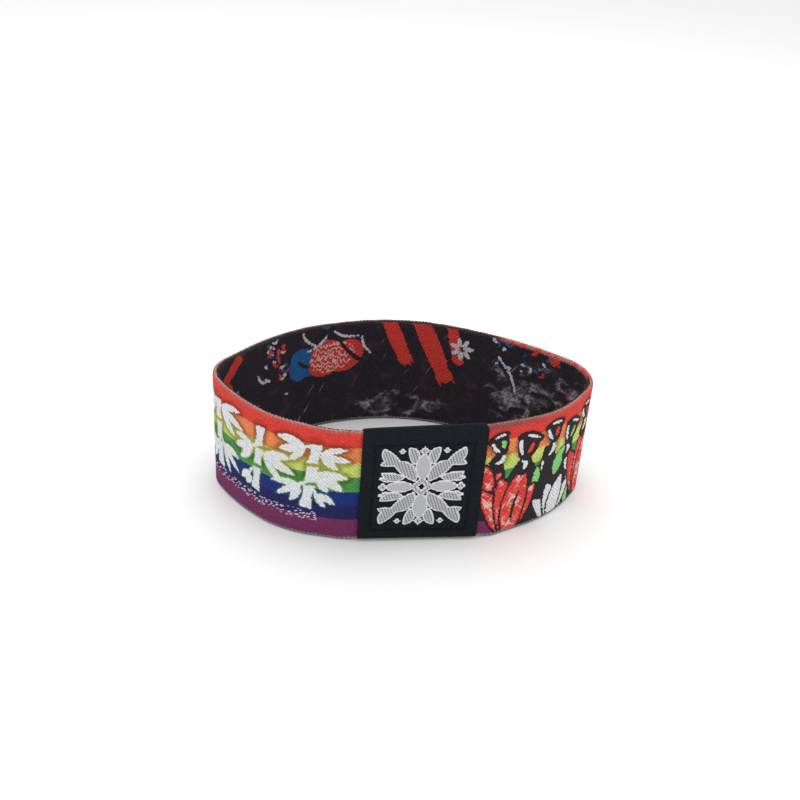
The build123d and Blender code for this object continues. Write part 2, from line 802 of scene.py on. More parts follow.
def store(mesh: bpy.types.Mesh, name: str, values: Array) -> None:
    """Writes one number or one vector for each vertex as an attribute.

    Args:
        mesh: The mesh.
        name: The attribute's name.
        values: A row for each vertex.
    """
    kind, key = ("FLOAT", "value") if values.ndim == 1 else ("FLOAT_VECTOR", "vector")
    layer = mesh.attributes.new(name, kind, "POINT")
    layer.data.foreach_set(key, values.astype(np.float32).ravel())


def smooth_step(low: float, high: float, x: Array) -> Array:
    """0 below low, 1 above high and a smooth ramp between them."""
    t = ((x - low) / (high - low)).clip(0, 1)
    return t * t * (3 - 2 * t)


def soft_noise(x: Array, seed: int, wave: float) -> Array:
    """Smooth seeded noise along a line, from about -1 to 1.

    Args:
        x: Places along the line.
        seed: Seed of the random waves.
        wave: Length of the longest wave, in the same unit as x. It is halved twice.

    Returns:
        The noise at each place.
    """
    rng = np.random.default_rng(seed)
    total = np.zeros_like(x)
    for octave in range(3):
        for _ in range(3):
            length = wave / 2**octave * rng.uniform(0.75, 1.3)
            total += np.sin(2 * np.pi * (x / length + rng.random())) / 2**octave / 3
    return total


# Shader nodes


class Value:
    """A number that a node gives. Arithmetic on it adds math nodes."""

    def __init__(self, graph: "Graph", socket: Socket) -> None:
        """Wraps an output of one of the graph's nodes."""
        self.graph = graph
        self.socket = socket

    def __add__(self, other: object) -> Self:
        """The sum."""
        return self.graph.math("ADD", self, other)

    def __sub__(self, other: object) -> Self:
        """The difference."""
        return self.graph.math("SUBTRACT", self, other)

    def __rsub__(self, other: object) -> Self:
        """The difference from a plain number."""
        return self.graph.math("SUBTRACT", other, self)

    def __mul__(self, other: object) -> Self:
        """The product."""
        return self.graph.math("MULTIPLY", self, other)

    def __truediv__(self, other: object) -> Self:
        """The quotient."""
        return self.graph.math("DIVIDE", self, other)

    def __abs__(self) -> Self:
        """The value without its sign."""
        return self.graph.math("ABSOLUTE", self)

    def wave(self, length: float, kind: str = "SINE") -> Self:
        """A wave of this length and kind along the value, from -1 to 1."""
        return self.graph.math(kind, self * (2 * math.pi / length))

    def ramp(self, low: float, high: float, start: float = 0.0, end: float = 1.0) -> Self:
        """Maps the value smoothly from one range to another, and holds it there.

        Args:
            low: Where the ramp starts.
            high: Where the ramp ends.
            start: What it gives at low.
            end: What it gives at high.

        Returns:
            The mapped value.
        """
        inputs = {"Value": self, 1: low, 2: high, 3: start, 4: end}
        made = self.graph.node("ShaderNodeMapRange", inputs, interpolation_type="SMOOTHSTEP")
        return Value(self.graph, made.outputs["Result"])


class Graph:
    """Adds and joins the nodes of one node tree."""

    def __init__(self, tree: bpy.types.NodeTree) -> None:
        """Works on this tree."""
        self.tree = tree

    def node(self, kind: str, inputs: dict[str | int, object] | None = None,
             **settings: object) -> bpy.types.Node:
        """Adds a node.

        Args:
            kind: The node's type.
            inputs: A value, a socket, a tint or a plain value for each named or numbered input.
            settings: The node's own properties.

        Returns:
            The node.
        """
        row, column = divmod(len(self.tree.nodes), 12)
        made = self.tree.nodes.new(kind)
        made.location = (220 * column, -260 * row)
        for name, value in settings.items():
            setattr(made, name, value)
        for name, value in (inputs or {}).items():
            self.fill(made, name, value)
        return made

    def fill(self, node: bpy.types.Node, name: str | int, value: object) -> None:
        """Fills an input of a node.

        Args:
            node: The node.
            name: The input's name or number.
            value: A value, a socket, a tint or a plain value.
        """
        if isinstance(value, Tint):
            value = value.linear
        if isinstance(value, Value):
            value = value.socket
        if isinstance(value, Socket):
            self.tree.links.new(value, node.inputs[name])
        else:
            node.inputs[name].default_value = value

    def math(self, operation: str, *values: object) -> Value:
        """Adds a math node on a number or a value for each of its inputs."""
        made = self.node("ShaderNodeMath", dict(enumerate(values)), operation=operation)
        return Value(self, made.outputs[0])

    def mix(self, share: object, under: object, over: object, blend: str = "MIX") -> Socket:
        """Mixes two colours.

        Args:
            share: How much of the second colour shows.
            under: The first colour.
            over: The second colour.
            blend: The blend mode.

        Returns:
            The mixed colour's socket.
        """
        inputs = {0: share, 6: under, 7: over}
        return self.node("ShaderNodeMix", inputs, data_type="RGBA", blend_type=blend).outputs[2]

    @cached_property
    def place(self) -> Socket:
        """The place on the flat cloth: s, v and the depth through it, in millimetres."""
        return self.attribute(FLAT_PLACE, "Vector")

    @cached_property
    def parts(self) -> tuple[Value, ...]:
        """The three parts of the place on the flat cloth."""
        return self.split(self.place)

    def noise(self, scale: float, detail: float, vector: object = None, **more: float) -> Value:
        """Adds a noise texture at a place, the flat place if none is given, from 0 to 1."""
        inputs = {"Vector": vector or self.place, "Scale": scale, "Detail": detail, **more}
        return Value(self, self.node("ShaderNodeTexNoise", inputs).outputs["Fac"])

    def scaled(self, factors: Triple, vector: object = None) -> Socket:
        """Multiplies a vector, the flat place if none is given, by three factors."""
        inputs = {0: vector or self.place, 1: factors}
        return self.node("ShaderNodeVectorMath", inputs, operation="MULTIPLY").outputs[0]

    def turned(self, angle: float, centre: Triple = (0.0, 0.0, 0.0)) -> Socket:
        """Turns the flat place by an angle in radians about a centre."""
        inputs = {"Vector": self.place, "Angle": angle, "Center": centre}
        return self.node("ShaderNodeVectorRotate", inputs, rotation_type="Z_AXIS").outputs[0]

    def grain(self, scale: float, detail: float) -> Value:
        """Adds a noise texture in the piece's own space, from 0 to 1."""
        return self.noise(scale, detail, self.node("ShaderNodeTexCoord").outputs["Object"])

    def grey(self, value: Value) -> Socket:
        """The grey of this brightness."""
        return self.node("ShaderNodeCombineColor", {0: value, 1: value, 2: value}).outputs[0]

    def steps(self, value: Value, stops: Sequence[tuple[float, Tint]], blend: str) -> Socket:
        """Looks a colour up by a value.

        Args:
            value: The value, from 0 to 1.
            stops: Where each colour starts, and the colour.
            blend: How the ramp goes from one colour to the next.

        Returns:
            The colour's socket.
        """
        made = self.node("ShaderNodeValToRGB", {"Fac": value})
        ramp = made.color_ramp
        ramp.interpolation = blend
        for number, (at, tint) in enumerate(stops):
            stop = ramp.elements[number] if number < 2 else ramp.elements.new(at)
            stop.position, stop.color = at, tint.linear
        return made.outputs["Color"]

    def attribute(self, name: str, output: str) -> Socket:
        """One output of an attribute of the mesh."""
        made = self.node("ShaderNodeAttribute", attribute_name=name, attribute_type="GEOMETRY")
        return made.outputs[output]

    def depth(self, ink: Ink) -> Value:
        """The depth inside an ink, in millimetres."""
        return Value(self, self.attribute(ink.value, "Fac"))

    def split(self, vector: object) -> tuple[Value, ...]:
        """Splits a vector into its three values."""
        return tuple(Value(self, part) for part in self.node("ShaderNodeSeparateXYZ", {0: vector}).outputs)

    def group(self, name: str, **inputs: float) -> dict[str, Value]:
        """Places a shared node group on the flat place.

        Args:
            name: The group's name.
            inputs: Its other inputs.

        Returns:
            What the group gives, by name.
        """
        tree = bpy.data.node_groups[name]
        made = self.node("ShaderNodeGroup", node_tree=tree)
        for key, value in {"Flat Place": self.place, **inputs}.items():
            self.fill(made, key, value)
        return {socket.name: Value(self, socket) for socket in made.outputs}


@dataclass(frozen=True)
class Weave:
    """A node group that takes the flat place and gives heights and masks."""

    name: ClassVar[str]
    takes: ClassVar[dict[str, float]] = {}
    gives: ClassVar[tuple[str, ...]]

    def work(self, graph: Graph, taken: dict[str, Value]) -> Sequence[Value]:
        """Works out what the group gives.

        Args:
            graph: The group's graph.
            taken: The group's other inputs, by name.

        Returns:
            One value for each name in gives.
        """
        raise NotImplementedError

    def build(self) -> bpy.types.NodeTree:
        """Builds the group.

        Returns:
            The group's tree.
        """
        tree = bpy.data.node_groups.new(self.name, "ShaderNodeTree")
        sockets = tree.interface
        sockets.new_socket("Flat Place", in_out="INPUT", socket_type="NodeSocketVector")
        for name, value in self.takes.items():
            sockets.new_socket(name, in_out="INPUT", socket_type="NodeSocketFloat").default_value = value
        for name in self.gives:
            sockets.new_socket(name, in_out="OUTPUT", socket_type="NodeSocketFloat")
        graph = Graph(tree)
        inputs = graph.node("NodeGroupInput").outputs
        graph.place = inputs["Flat Place"]
        results = self.work(graph, {name: Value(graph, inputs[name]) for name in self.takes})
        graph.node("NodeGroupOutput", dict(zip(self.gives, results)))
        return tree


@dataclass(frozen=True)
class TwillWeave(Weave):
    """The webbing's diagonal ribs: their height, the dark lines between them and a slow cloudiness."""

    name: ClassVar[str] = "twill_weave"
    gives: ClassVar[tuple[str, ...]] = ("Height", "Gap", "Cloud")
    rib_run: float = 0.86
    rib_stray: float = 1.1
    gap_share: float = 0.46
    float_run: float = 0.5
    float_slant: float = 0.72
    float_height: float = 0.3
    fuzz: float = 0.9

    def work(self, graph: Graph, taken: dict[str, Value]) -> Sequence[Value]:
        """Works out the ribs.

        Args:
            graph: The group's graph.
            taken: No other inputs.

        Returns:
            The height, the lines and the cloudiness.
        """
        s, v, _y = graph.parts
        stray = (graph.noise(0.8, 4.0) - 0.5) * self.rib_stray
        off = abs(graph.math("FRACT", (s + v) / self.rib_run + stray) - 0.5) * 2.0
        # short floats cross each rib at a right angle to it
        floats = (v * self.float_slant - s).wave(self.float_run).ramp(-1.0, 1.0)
        ribs = floats * self.float_height + off.ramp(0.3, 1.0, 1.0, 0.0)
        height = ribs + graph.noise(4.5, 3.0) * self.fuzz
        dashes = graph.noise(1.7, 3.0).ramp(0.38, 0.66) * 0.85 + 0.15
        clear = graph.noise(0.13, 1.0, graph.scaled((1.0, 0.6, 1.0))).ramp(0.38, 0.6, 0.35, 1.0)
        gap = off.ramp(1 - self.gap_share, 1.0) * dashes * clear
        return height, gap, graph.noise(2.2, 4.0)


@dataclass(frozen=True)
class WornEdge(Weave):
    """The webbing's two edges: undyed threads, the pale thread on the rim, and the unprinted foot."""

    name: ClassVar[str] = "worn_edge"
    takes: ClassVar[dict[str, float]] = {"Reach": 0.95}
    gives: ClassVar[tuple[str, ...]] = ("Worn", "Rim Thread", "Inner Side", "Rim Top", "Foot")
    undyed_run: float = 0.42
    undyed_share: float = 0.12
    picot_run: float = 0.78
    picot_sway: float = 0.08
    stray: float = 0.5
    thread_out: float = 0.06
    foot: float = 0.66
    foot_soft: float = 0.1

    def work(self, graph: Graph, taken: dict[str, Value]) -> Sequence[Value]:
        """Works out the edges.

        Args:
            graph: The group's graph.
            taken: How far the worn threads reach from the edge.

        Returns:
            Masks of the worn threads, the rim's thread, its inner side, its top and the foot.
        """
        s, v, y = graph.parts
        from_edge = graph.math("MINIMUM", v, WEBBING_WIDTH - v)
        near = graph.math("MAXIMUM", 1 - from_edge / taken["Reach"], 0.0)
        patch = graph.noise(1.9, 4.0, graph.scaled((1.6, 0.5, 1.0)))
        worn = (s.wave(self.undyed_run) * self.undyed_share + (near + patch)).ramp(0.8, 1.5)
        picots = s.wave(self.picot_run)
        stray = (graph.noise(1.4, 3.0) - 0.5) * self.stray
        wander = stray + (picots * self.picot_sway + y)
        top = from_edge.ramp(0.12, 0.3, 1.0, 0.0)
        broken = graph.noise(2.6, 2.0).ramp(0.34, 0.5)
        rim = abs(wander + self.thread_out).ramp(0.08, 0.2, 1.0, 0.0) * (top * broken)
        low, high = self.foot - self.foot_soft, self.foot + self.foot_soft
        foot = (picots * 0.1 + (stray + v)).ramp(low, high, 1.0, 0.0)
        return worn, rim, wander.ramp(0.0, 0.14), top, foot


@dataclass(frozen=True)
class DryStreaks(Weave):
    """Bunches of thin dry brush streaks in two crossing directions."""

    name: ClassVar[str] = "dry_streaks"
    takes: ClassVar[dict[str, float]] = {"Density": 0.5}
    gives: ClassVar[tuple[str, ...]] = ("Streaks",)
    turns: Point = (0.62, 2.2)
    stretch: Triple = (0.55, 3.6, 1.0)
    bunching: float = 0.8
    edge: Point = (1.08, 1.16)

    def work(self, graph: Graph, taken: dict[str, Value]) -> Sequence[Value]:
        """Works out the streaks.

        Args:
            graph: The group's graph.
            taken: How dense the streaks are.

        Returns:
            Their mask.
        """
        lines = []
        for turn in self.turns:
            turned = graph.turned(turn, (9.0 * turn, 5.0, 0.0))
            lines.append(graph.noise(1.0, 2.0, graph.scaled(self.stretch, turned)))
        bunch = graph.noise(0.36, 1.0) * self.bunching - self.bunching / 2
        return ((graph.math("MAXIMUM", *lines) + bunch + taken["Density"]).ramp(*self.edge),)


@dataclass(frozen=True)
class DamaskWeave(Weave):
    """The label's fine satin weave."""

    name: ClassVar[str] = "damask_weave"
    gives: ClassVar[tuple[str, ...]] = ("Height", "Bind", "Floats", "Steps")
    dash_run: float = 0.56
    dash_rise: float = 0.78
    float_run: float = 0.31
    stray: float = 0.12
    fuzz: float = 0.7
    step: float = 0.24
    step_share: float = 0.6
    step_sink: float = 0.07

    def work(self, graph: Graph, taken: dict[str, Value]) -> Sequence[Value]:
        """Works out the satin.

        Args:
            graph: The group's graph.
            taken: No other inputs.

        Returns:
            The height, a mask of slanted binding points, the ribs of plain upright floats, and the
            steps of an outline.
        """
        s, v, y = graph.parts
        # over the folds the rows run on through the tape's thickness
        up = v + y
        stray = (graph.noise(1.2, 2.0) - 0.5) * self.stray
        # each row of points sits half a run beside the next, and each point leans to the right
        lean = 0.5 * self.dash_run / self.dash_rise
        runs = (up * -lean + s + stray).wave(self.dash_run, "COSINE")
        point = (runs * up.wave(self.dash_rise, "COSINE")).ramp(0.1, 0.42)
        height = graph.noise(5.0, 3.0) * self.fuzz + (1 - point)
        steps = graph.math("PINGPONG", v, self.step) * self.step_share - self.step_sink
        return height, point, s.wave(self.float_run).ramp(-1.0, 1.0), steps


# Finishes


@dataclass(frozen=True)
class Finish:
    """A material of one shader over a bump, whose real height is in metres."""

    name: ClassVar[str]
    roughness: ClassVar[float]
    bump: ClassVar[float]
    constants: ClassVar[dict[str, float]]

    def look(self, graph: Graph) -> tuple[object, Value]:
        """Works out what the shader shows.

        Args:
            graph: The material's graph.

        Returns:
            The base colour, and the height of the bump from 0 to 1.
        """
        raise NotImplementedError

    def build(self) -> bpy.types.Material:
        """Builds the material.

        Returns:
            The material.
        """
        material = bpy.data.materials.new(self.name)
        material.use_nodes = True
        material.node_tree.nodes.clear()
        graph = Graph(material.node_tree)
        colour, height = self.look(graph)
        relief = graph.node("ShaderNodeBump", {"Height": height, "Distance": self.bump, "Strength": 1.0})
        shader = graph.node("ShaderNodeBsdfPrincipled", {
            "Normal": relief.outputs["Normal"], "Base Color": colour, "Roughness": self.roughness,
            **self.constants})
        graph.node("ShaderNodeOutputMaterial", {"Surface": shader.outputs["BSDF"]})
        return material


@dataclass(frozen=True)
class WebbingPrint(Finish):
    """What both faces of the webbing share: inks over a ground, worn edges with some painted shade, and the
    weave.
    """

    roughness: ClassVar[float] = 0.85
    bump: ClassVar[float] = 0.1 * MM
    constants: ClassVar[dict[str, float]] = {
        "Sheen Weight": 0.02, "Sheen Roughness": 0.5, "Specular IOR Level": 0.12}
    inks: dict[Ink, Tint]
    hatch: Tint
    undyed: Tint
    worn_share: float
    mottle: Tint = Tint(58, 38, 44)
    ink_edge: float = 0.05
    fray: float = 0.8
    gap_fray: float = -0.16
    hatch_share: float = 0.85
    # grey of the unprinted foot threads, darkened with painted shade to how they look along the floor
    foot: Tint = Tint(132, 130, 127)
    gap_share: float = 0.48
    gap_tint: Tint = Tint(112, 108, 114)
    cloud: Point = (0.88, 1.1)
    # the upper edge: browner right of the label, with painted shade at the back, and rosy between the two
    browner_rim: Tint = Tint(120, 80, 76)
    browner_rim_share: float = 0.75
    browner_rim_reach: Point = (14.0, 32.0)
    browner_rim_rise: Point = (23.6, 24.5)
    # painted shade: the upper rim turns dark maroon at the back of the loop
    back_rim_shade: Tint = Tint(84, 46, 50)
    back_shade_share: float = 0.9
    back_shade_middle: float = 100.0
    back_shade_half: float = 34.0
    back_shade_soft: float = 4.0
    inner_dark: Tint = Tint(52, 44, 48)
    rosy: Tint = Tint(176, 116, 108)
    rosy_red: Tint = Tint(206, 66, 58)
    rosy_share: float = 0.85
    rosy_reach: Point = (46.0, 66.0)
    rosy_soft: Point = (3.0, 4.0)
    rosy_rise: Point = (24.2, 24.5)
    # the pale thread shows least right of the label, and less in the painted shade at the back
    rim_thread: Tint = Tint(172, 158, 152)
    thread_least: float = 0.35
    thread_more: float = 0.3
    thread_reach: Point = (50.0, 150.0)
    thread_in_back_shade: float = -0.15

    def ground(self, graph: Graph, ragged: Value) -> Socket:
        """Colour under the inks.

        Args:
            graph: The material's graph.
            ragged: Fine noise about zero that frays edges.

        Returns:
            The colour's socket.
        """
        raise NotImplementedError

    def hatching(self, graph: Graph) -> Value:
        """Mask of the pale strokes inside hatched regions.

        Args:
            graph: The material's graph.

        Returns:
            The mask.
        """
        raise NotImplementedError

    def look(self, graph: Graph) -> tuple[object, Value]:
        """Lays the inks over the ground, wears the edges, paints shade on them in places and draws the
        weave.

        Args:
            graph: The material's graph.

        Returns:
            The base colour and the height of the bump.
        """
        twill = graph.group(TwillWeave.name)
        edge = graph.group(WornEdge.name)
        fray = graph.noise(1.6, 3.0) - 0.5
        ragged = twill["Gap"] * self.gap_fray + fray * self.fray
        soft = (-self.ink_edge, self.ink_edge)
        colour = self.ground(graph, ragged)
        for ink, tint in self.inks.items():
            if ink is Ink.BLACK:
                tint = graph.mix(graph.noise(0.5, 4.0).ramp(0.52, 0.7), tint, self.mottle)
            if ink is Ink.WHITE:
                hatched = (ragged + graph.depth(Ink.HATCH)).ramp(*soft)
                strokes = hatched * self.hatching(graph)
                colour = graph.mix(strokes * self.hatch_share, colour, self.hatch)
            colour = graph.mix((ragged + graph.depth(ink)).ramp(*soft), colour, tint)
        colour = graph.mix(edge["Worn"] * self.worn_share, colour, self.undyed)
        # the unprinted grey foot, which also carries painted shade along the floor
        colour = graph.mix(edge["Foot"], colour, self.foot)
        colour = self._upper_edge(graph, fray, edge, colour)
        colour = graph.mix(twill["Gap"] * self.gap_share, colour, self.gap_tint, "MULTIPLY")
        cloud = graph.grey(twill["Cloud"].ramp(0.3, 0.7, *self.cloud))
        return graph.mix(1.0, colour, cloud, "MULTIPLY"), twill["Height"]

    def _upper_edge(self, graph: Graph, fray: Value, edge: dict[str, Value], colour: Socket) -> Socket:
        """Colours the upper edge, which differs from place to place, and paints shade on it at the back.

        Args:
            graph: The material's graph.
            fray: Fine noise about zero.
            edge: Masks of the edge.
            colour: The colour so far.

        Returns:
            The new colour's socket.
        """
        s, v, _y = graph.parts
        high = fray + v
        # the upper edge turns browner right of the label
        browner_rim = s.ramp(*self.browner_rim_reach, self.browner_rim_share, 0.0) * high.ramp(*self.browner_rim_rise)
        colour = graph.mix(browner_rim, colour, self.browner_rim)
        # painted shade at the back of the loop: the upper rim darkens to maroon, and the pale thread on it
        # shows less
        near, far = self.back_shade_half - self.back_shade_soft, self.back_shade_half + self.back_shade_soft
        back = abs(s - self.back_shade_middle).ramp(near, far, self.back_shade_share, 0.0) * edge["Rim Top"]
        colour = graph.mix(back, colour, self.back_rim_shade)
        colour = graph.mix(edge["Inner Side"] * edge["Rim Top"], colour, self.inner_dark)
        (first, last), (soft_in, soft_out) = self.rosy_reach, self.rosy_soft
        rosy = s.ramp(first - soft_in, first) * s.ramp(last, last + soft_out, self.rosy_share, 0.0)
        patches = graph.mix(graph.noise(0.6, 3.0).ramp(0.46, 0.56), self.rosy, self.rosy_red)
        colour = graph.mix(rosy * high.ramp(*self.rosy_rise), colour, patches)
        along = s.ramp(*self.thread_reach) * self.thread_more + self.thread_least
        shown = back * self.thread_in_back_shade + along
        return graph.mix(edge["Rim Thread"] * shown, colour, self.rim_thread)


@dataclass(frozen=True)
class RainbowPrint(WebbingPrint):
    """Outer face: seven level stripes under the motifs."""

    name: ClassVar[str] = "webbing_outer_print"
    inks: dict[Ink, Tint] = field(default_factory=lambda: {
        Ink.BLACK: Tint(44, 39, 43),
        Ink.RED: Tint(222, 66, 58),
        Ink.GREEN: Tint(136, 208, 120),
        Ink.BLUE: Tint(30, 60, 120),
        Ink.WHITE: Tint(224, 226, 228),
    })
    hatch: Tint = Tint(236, 208, 196)
    undyed: Tint = Tint(150, 112, 104)
    worn_share: float = 0.6
    streak_density: float = 0.49
    stripe_fray: float = 0.5
    shade: Tint = Tint(112, 84, 50)
    shade_share: float = 0.7
    glow_share: float = 0.7
    litter_tint: Tint = Tint(204, 188, 210)
    litter_reach: Point = (126.0, 169.2)
    litter_foot: Point = (3.7, 4.2)
    litter_head: Point = (5.7, 6.3)
    litter_absent: float = 0.22
    litter_least: float = 0.22
    litter_more: float = 0.16
    # each stripe's lower edge in millimetres and its colour
    stripes: tuple[tuple[float, Tint], ...] = (
        (0.0, Tint(118, 49, 92)),
        (4.85, Tint(35, 36, 89)),
        (8.2, Tint(28, 49, 118)),
        (11.35, Tint(79, 147, 79)),
        (14.8, Tint(200, 214, 111)),
        (18.0, Tint(233, 137, 82)),
        (21.4, Tint(220, 66, 58)),
    )
    # the glow round white strokes, by its share of the webbing's width
    halo: tuple[tuple[float, Tint], ...] = (
        (0.0, Tint(70, 60, 110)),
        (0.4, Tint(60, 120, 110)),
        (0.52, Tint(150, 190, 80)),
        (0.68, Tint(196, 196, 84)),
        (0.8, Tint(150, 100, 44)),
    )

    def ground(self, graph: Graph, ragged: Value) -> Socket:
        """The stripes, darker round the white strokes and rimmed with a thin glow.

        Args:
            graph: The material's graph.
            ragged: Fine noise about zero that frays edges.

        Returns:
            The colour's socket.
        """
        v = graph.parts[1]
        level = (ragged * self.stripe_fray + v) / WEBBING_WIDTH
        stripes = [(low / WEBBING_WIDTH, tint) for low, tint in self.stripes]
        white = graph.depth(Ink.WHITE)
        shade = white.ramp(-1.5, 0.0) * level.ramp(0.45, 0.56) * self.shade_share
        colour = graph.mix(shade, graph.steps(level, stripes, "CONSTANT"), self.shade, "MULTIPLY")
        colour = graph.mix(self._litter(graph), colour, self.litter_tint)
        rim = (ragged * self.stripe_fray + white).ramp(-0.32, -0.14) * self.glow_share
        return graph.mix(rim, colour, graph.steps(level, self.halo, "LINEAR"))

    def _litter(self, graph: Graph) -> Value:
        """Small fallen leaves, strewn in a low row under the grove.

        Args:
            graph: The material's graph.

        Returns:
            Their mask.
        """
        s, v, _y = graph.parts
        cells = graph.node("ShaderNodeTexVoronoi", {
            "Vector": graph.scaled((1.0, 2.3, 0.0), graph.turned(-0.5)),
            "Scale": 0.92, "Randomness": 0.8}, voronoi_dimensions="2D")
        shown, size, _blue = graph.split(cells.outputs["Color"])
        reach = size * self.litter_more + self.litter_least
        leaf = (reach - Value(graph, cells.outputs["Distance"])).ramp(-0.04, 0.04)
        row = v.ramp(*self.litter_foot) * v.ramp(*self.litter_head, 1.0, 0.0)
        row = row * graph.math("GREATER_THAN", shown, self.litter_absent)
        first, last = self.litter_reach
        return leaf * row * graph.math("GREATER_THAN", s, first) * graph.math("LESS_THAN", s, last)

    def hatching(self, graph: Graph) -> Value:
        """Bunches of crossing dry streaks."""
        return graph.group(DryStreaks.name, Density=self.streak_density)["Streaks"]


@dataclass(frozen=True)
class NightPrint(WebbingPrint):
    """Inner face: a black ground with brushed strokes, smoke and scratches."""

    name: ClassVar[str] = "webbing_inner_print"
    inks: dict[Ink, Tint] = field(default_factory=lambda: {
        Ink.BLACK: Tint(36, 32, 38),
        Ink.RED: Tint(206, 60, 52),
        Ink.BLUE: Tint(34, 92, 150),
        Ink.WHITE: Tint(196, 194, 200),
    })
    hatch: Tint = Tint(214, 196, 194)
    undyed: Tint = Tint(72, 62, 64)
    worn_share: float = 0.5
    mottle: Tint = Tint(44, 34, 42)
    ground_tint: Tint = Tint(42, 37, 45)
    haze: Tint = Tint(104, 66, 72)
    haze_share: float = 0.28
    smoke: Tint = Tint(162, 160, 168)
    smoke_gain: float = 0.05
    smoke_most: float = 0.15
    scratch_turn: float = 1.05
    scratch_stretch: Triple = (0.16, 2.2, 1.0)
    scratch_share: float = 0.5
    hatch_rise: float = 1.5
    hatch_stray: float = 1.2
    hatch_run: float = 0.62
    hatch_slope: float = 1.5
    hatch_shift: float = 4.6

    def ground(self, graph: Graph, ragged: Value) -> Socket:
        """Black with a warm haze, drifts of grey smoke and long thin scratches.

        Args:
            graph: The material's graph.
            ragged: Not used here.

        Returns:
            The colour's socket.
        """
        haze = graph.noise(0.3, 6.0).ramp(0.52, 0.76, 0.0, self.haze_share)
        colour = graph.mix(haze, self.ground_tint, self.haze)
        region = graph.math("MINIMUM", graph.depth(Ink.SMOKE) * self.smoke_gain, self.smoke_most)
        drift = graph.noise(0.3, 6.0, graph.scaled((0.8, 1.2, 1.0)), Roughness=0.62, Distortion=0.7)
        torn = graph.noise(1.3, 4.0).ramp(0.36, 0.6, 0.25, 1.0)
        colour = graph.mix((drift + region).ramp(0.6, 0.82) * torn, colour, self.smoke)
        place = graph.scaled(self.scratch_stretch, graph.turned(self.scratch_turn))
        scratch = graph.noise(1.0, 1.0, place).ramp(0.72, 0.78, 0.0, self.scratch_share)
        return graph.mix(scratch, colour, self.smoke)

    def hatching(self, graph: Graph) -> Value:
        """Level jagged strokes, each row unlike the next.

        Args:
            graph: The material's graph.

        Returns:
            Their mask.
        """
        s, v, _y = graph.parts
        along = graph.noise(0.9, 2.0) * self.hatch_stray + s
        bent = graph.math("PINGPONG", along, self.hatch_run) * self.hatch_slope + v
        row = graph.math("FRACT", (graph.noise(0.5, 3.0) * self.hatch_shift + bent) / self.hatch_rise)
        return abs(row - 0.5).ramp(0.12, 0.22, 1.0, 0.0)


@dataclass(frozen=True)
class LabelTape(Finish):
    """The label: black satin with a silver-grey ornament woven in."""

    name: ClassVar[str] = "label_tape"
    roughness: ClassVar[float] = 0.62
    bump: ClassVar[float] = 0.06 * MM
    constants: ClassVar[dict[str, float]] = {"Specular IOR Level": 0.08}
    black: Tint = Tint(24, 28, 33)
    black_low: Tint = Tint(10, 12, 15)
    bind_share: float = 0.6
    fleck: Point = (0.8, 1.35)
    outline: Tint = Tint(8, 8, 10)
    outline_share: float = 0.7
    silver: Tint = Tint(222, 222, 226)
    silver_inside: Tint = Tint(190, 191, 195)
    silver_low: Tint = Tint(42, 44, 50)
    low_share: float = 0.92
    plain_share: float = 0.14

    def look(self, graph: Graph) -> tuple[object, Value]:
        """Weaves the ornament into the satin.

        Args:
            graph: The material's graph.

        Returns:
            The base colour and the height of the bump.
        """
        weave = graph.group(DamaskWeave.name)
        fleck = graph.grey(graph.noise(2.4, 4.0).ramp(0.3, 0.72, *self.fleck))
        ground = graph.mix(weave["Bind"] * self.bind_share, self.black, self.black_low)
        ground = graph.mix(1.0, ground, fleck, "MULTIPLY")
        depth = graph.depth(Ink.SILVER) + weave["Steps"]
        plain = graph.depth(Ink.FLOATS).ramp(-0.05, 0.05)
        inner = depth.ramp(0.2, 0.3)
        bound = weave["Bind"] * (1 - plain) * self.low_share
        low = bound + (1 - weave["Floats"]) * (plain * self.plain_share)
        silver = graph.mix(inner, self.silver, self.silver_inside)
        silver = graph.mix(inner * low, silver, self.silver_low)
        ground = graph.mix(depth.ramp(-0.35, -0.1) * self.outline_share, ground, self.outline)
        return graph.mix(depth.ramp(-0.04, 0.04), ground, silver), weave["Height"]


@dataclass(frozen=True)
class PlainThread(Finish):
    """Black sewing thread."""

    name: ClassVar[str] = "sewing_thread"
    roughness: ClassVar[float] = 0.6
    bump: ClassVar[float] = 0.03 * MM
    constants: ClassVar[dict[str, float]] = {"Specular IOR Level": 0.1}
    black: Tint = Tint(7, 8, 10)
    shine: Tint = Tint(17, 19, 22)

    def look(self, graph: Graph) -> tuple[object, Value]:
        """Black in fine twists."""
        twist = graph.grain(9000.0, 1.0)
        return graph.mix(twist, self.black, self.shine), twist


@dataclass(frozen=True)
class PaleFloor(Finish):
    """A plain pale surface."""

    name: ClassVar[str] = "pale_floor"
    roughness: ClassVar[float] = 0.7
    bump: ClassVar[float] = 0.01 * MM
    constants: ClassVar[dict[str, float]] = {"Specular IOR Level": 0.0}
    white: Tint = Tint(244, 244, 244)

    def look(self, graph: Graph) -> tuple[object, Value]:
        """One white with a fine grain."""
        return self.white, graph.grain(900.0, 2.0)


# Pieces


@dataclass(frozen=True)
class Pinch:
    """How far the label's stitching draws in the webbing's edges at one end, in millimetres."""

    bottom: float
    top: float
    ramp: float


@dataclass(frozen=True)
class Lean:
    """How the webbing's upper edge leans beside the label: in on the right, out on the left."""

    most: float = 1.6
    label_half: float = 11.75
    fades_at: float = 29.0
    bulge: float = 0.9
    bulge_at: float = -17.0
    bulge_reach: float = 4.0

    def inwards(self, s: Array, v: Array) -> Array:
        """How far each place leans inwards.

        Args:
            s: Places along the cloth from the label's middle, negative on the left.
            v: Places up the cloth.

        Returns:
            The distances, in millimetres.
        """
        twist = ((s + self.label_half) / (2 * self.label_half)).clip(0, 1)
        lean = self.most * twist * smooth_step(self.fades_at, self.label_half, s)
        lean = lean - self.bulge * np.exp(-(((s - self.bulge_at) / self.bulge_reach) ** 2))
        return lean * (v / WEBBING_WIDTH).clip(0, 1)


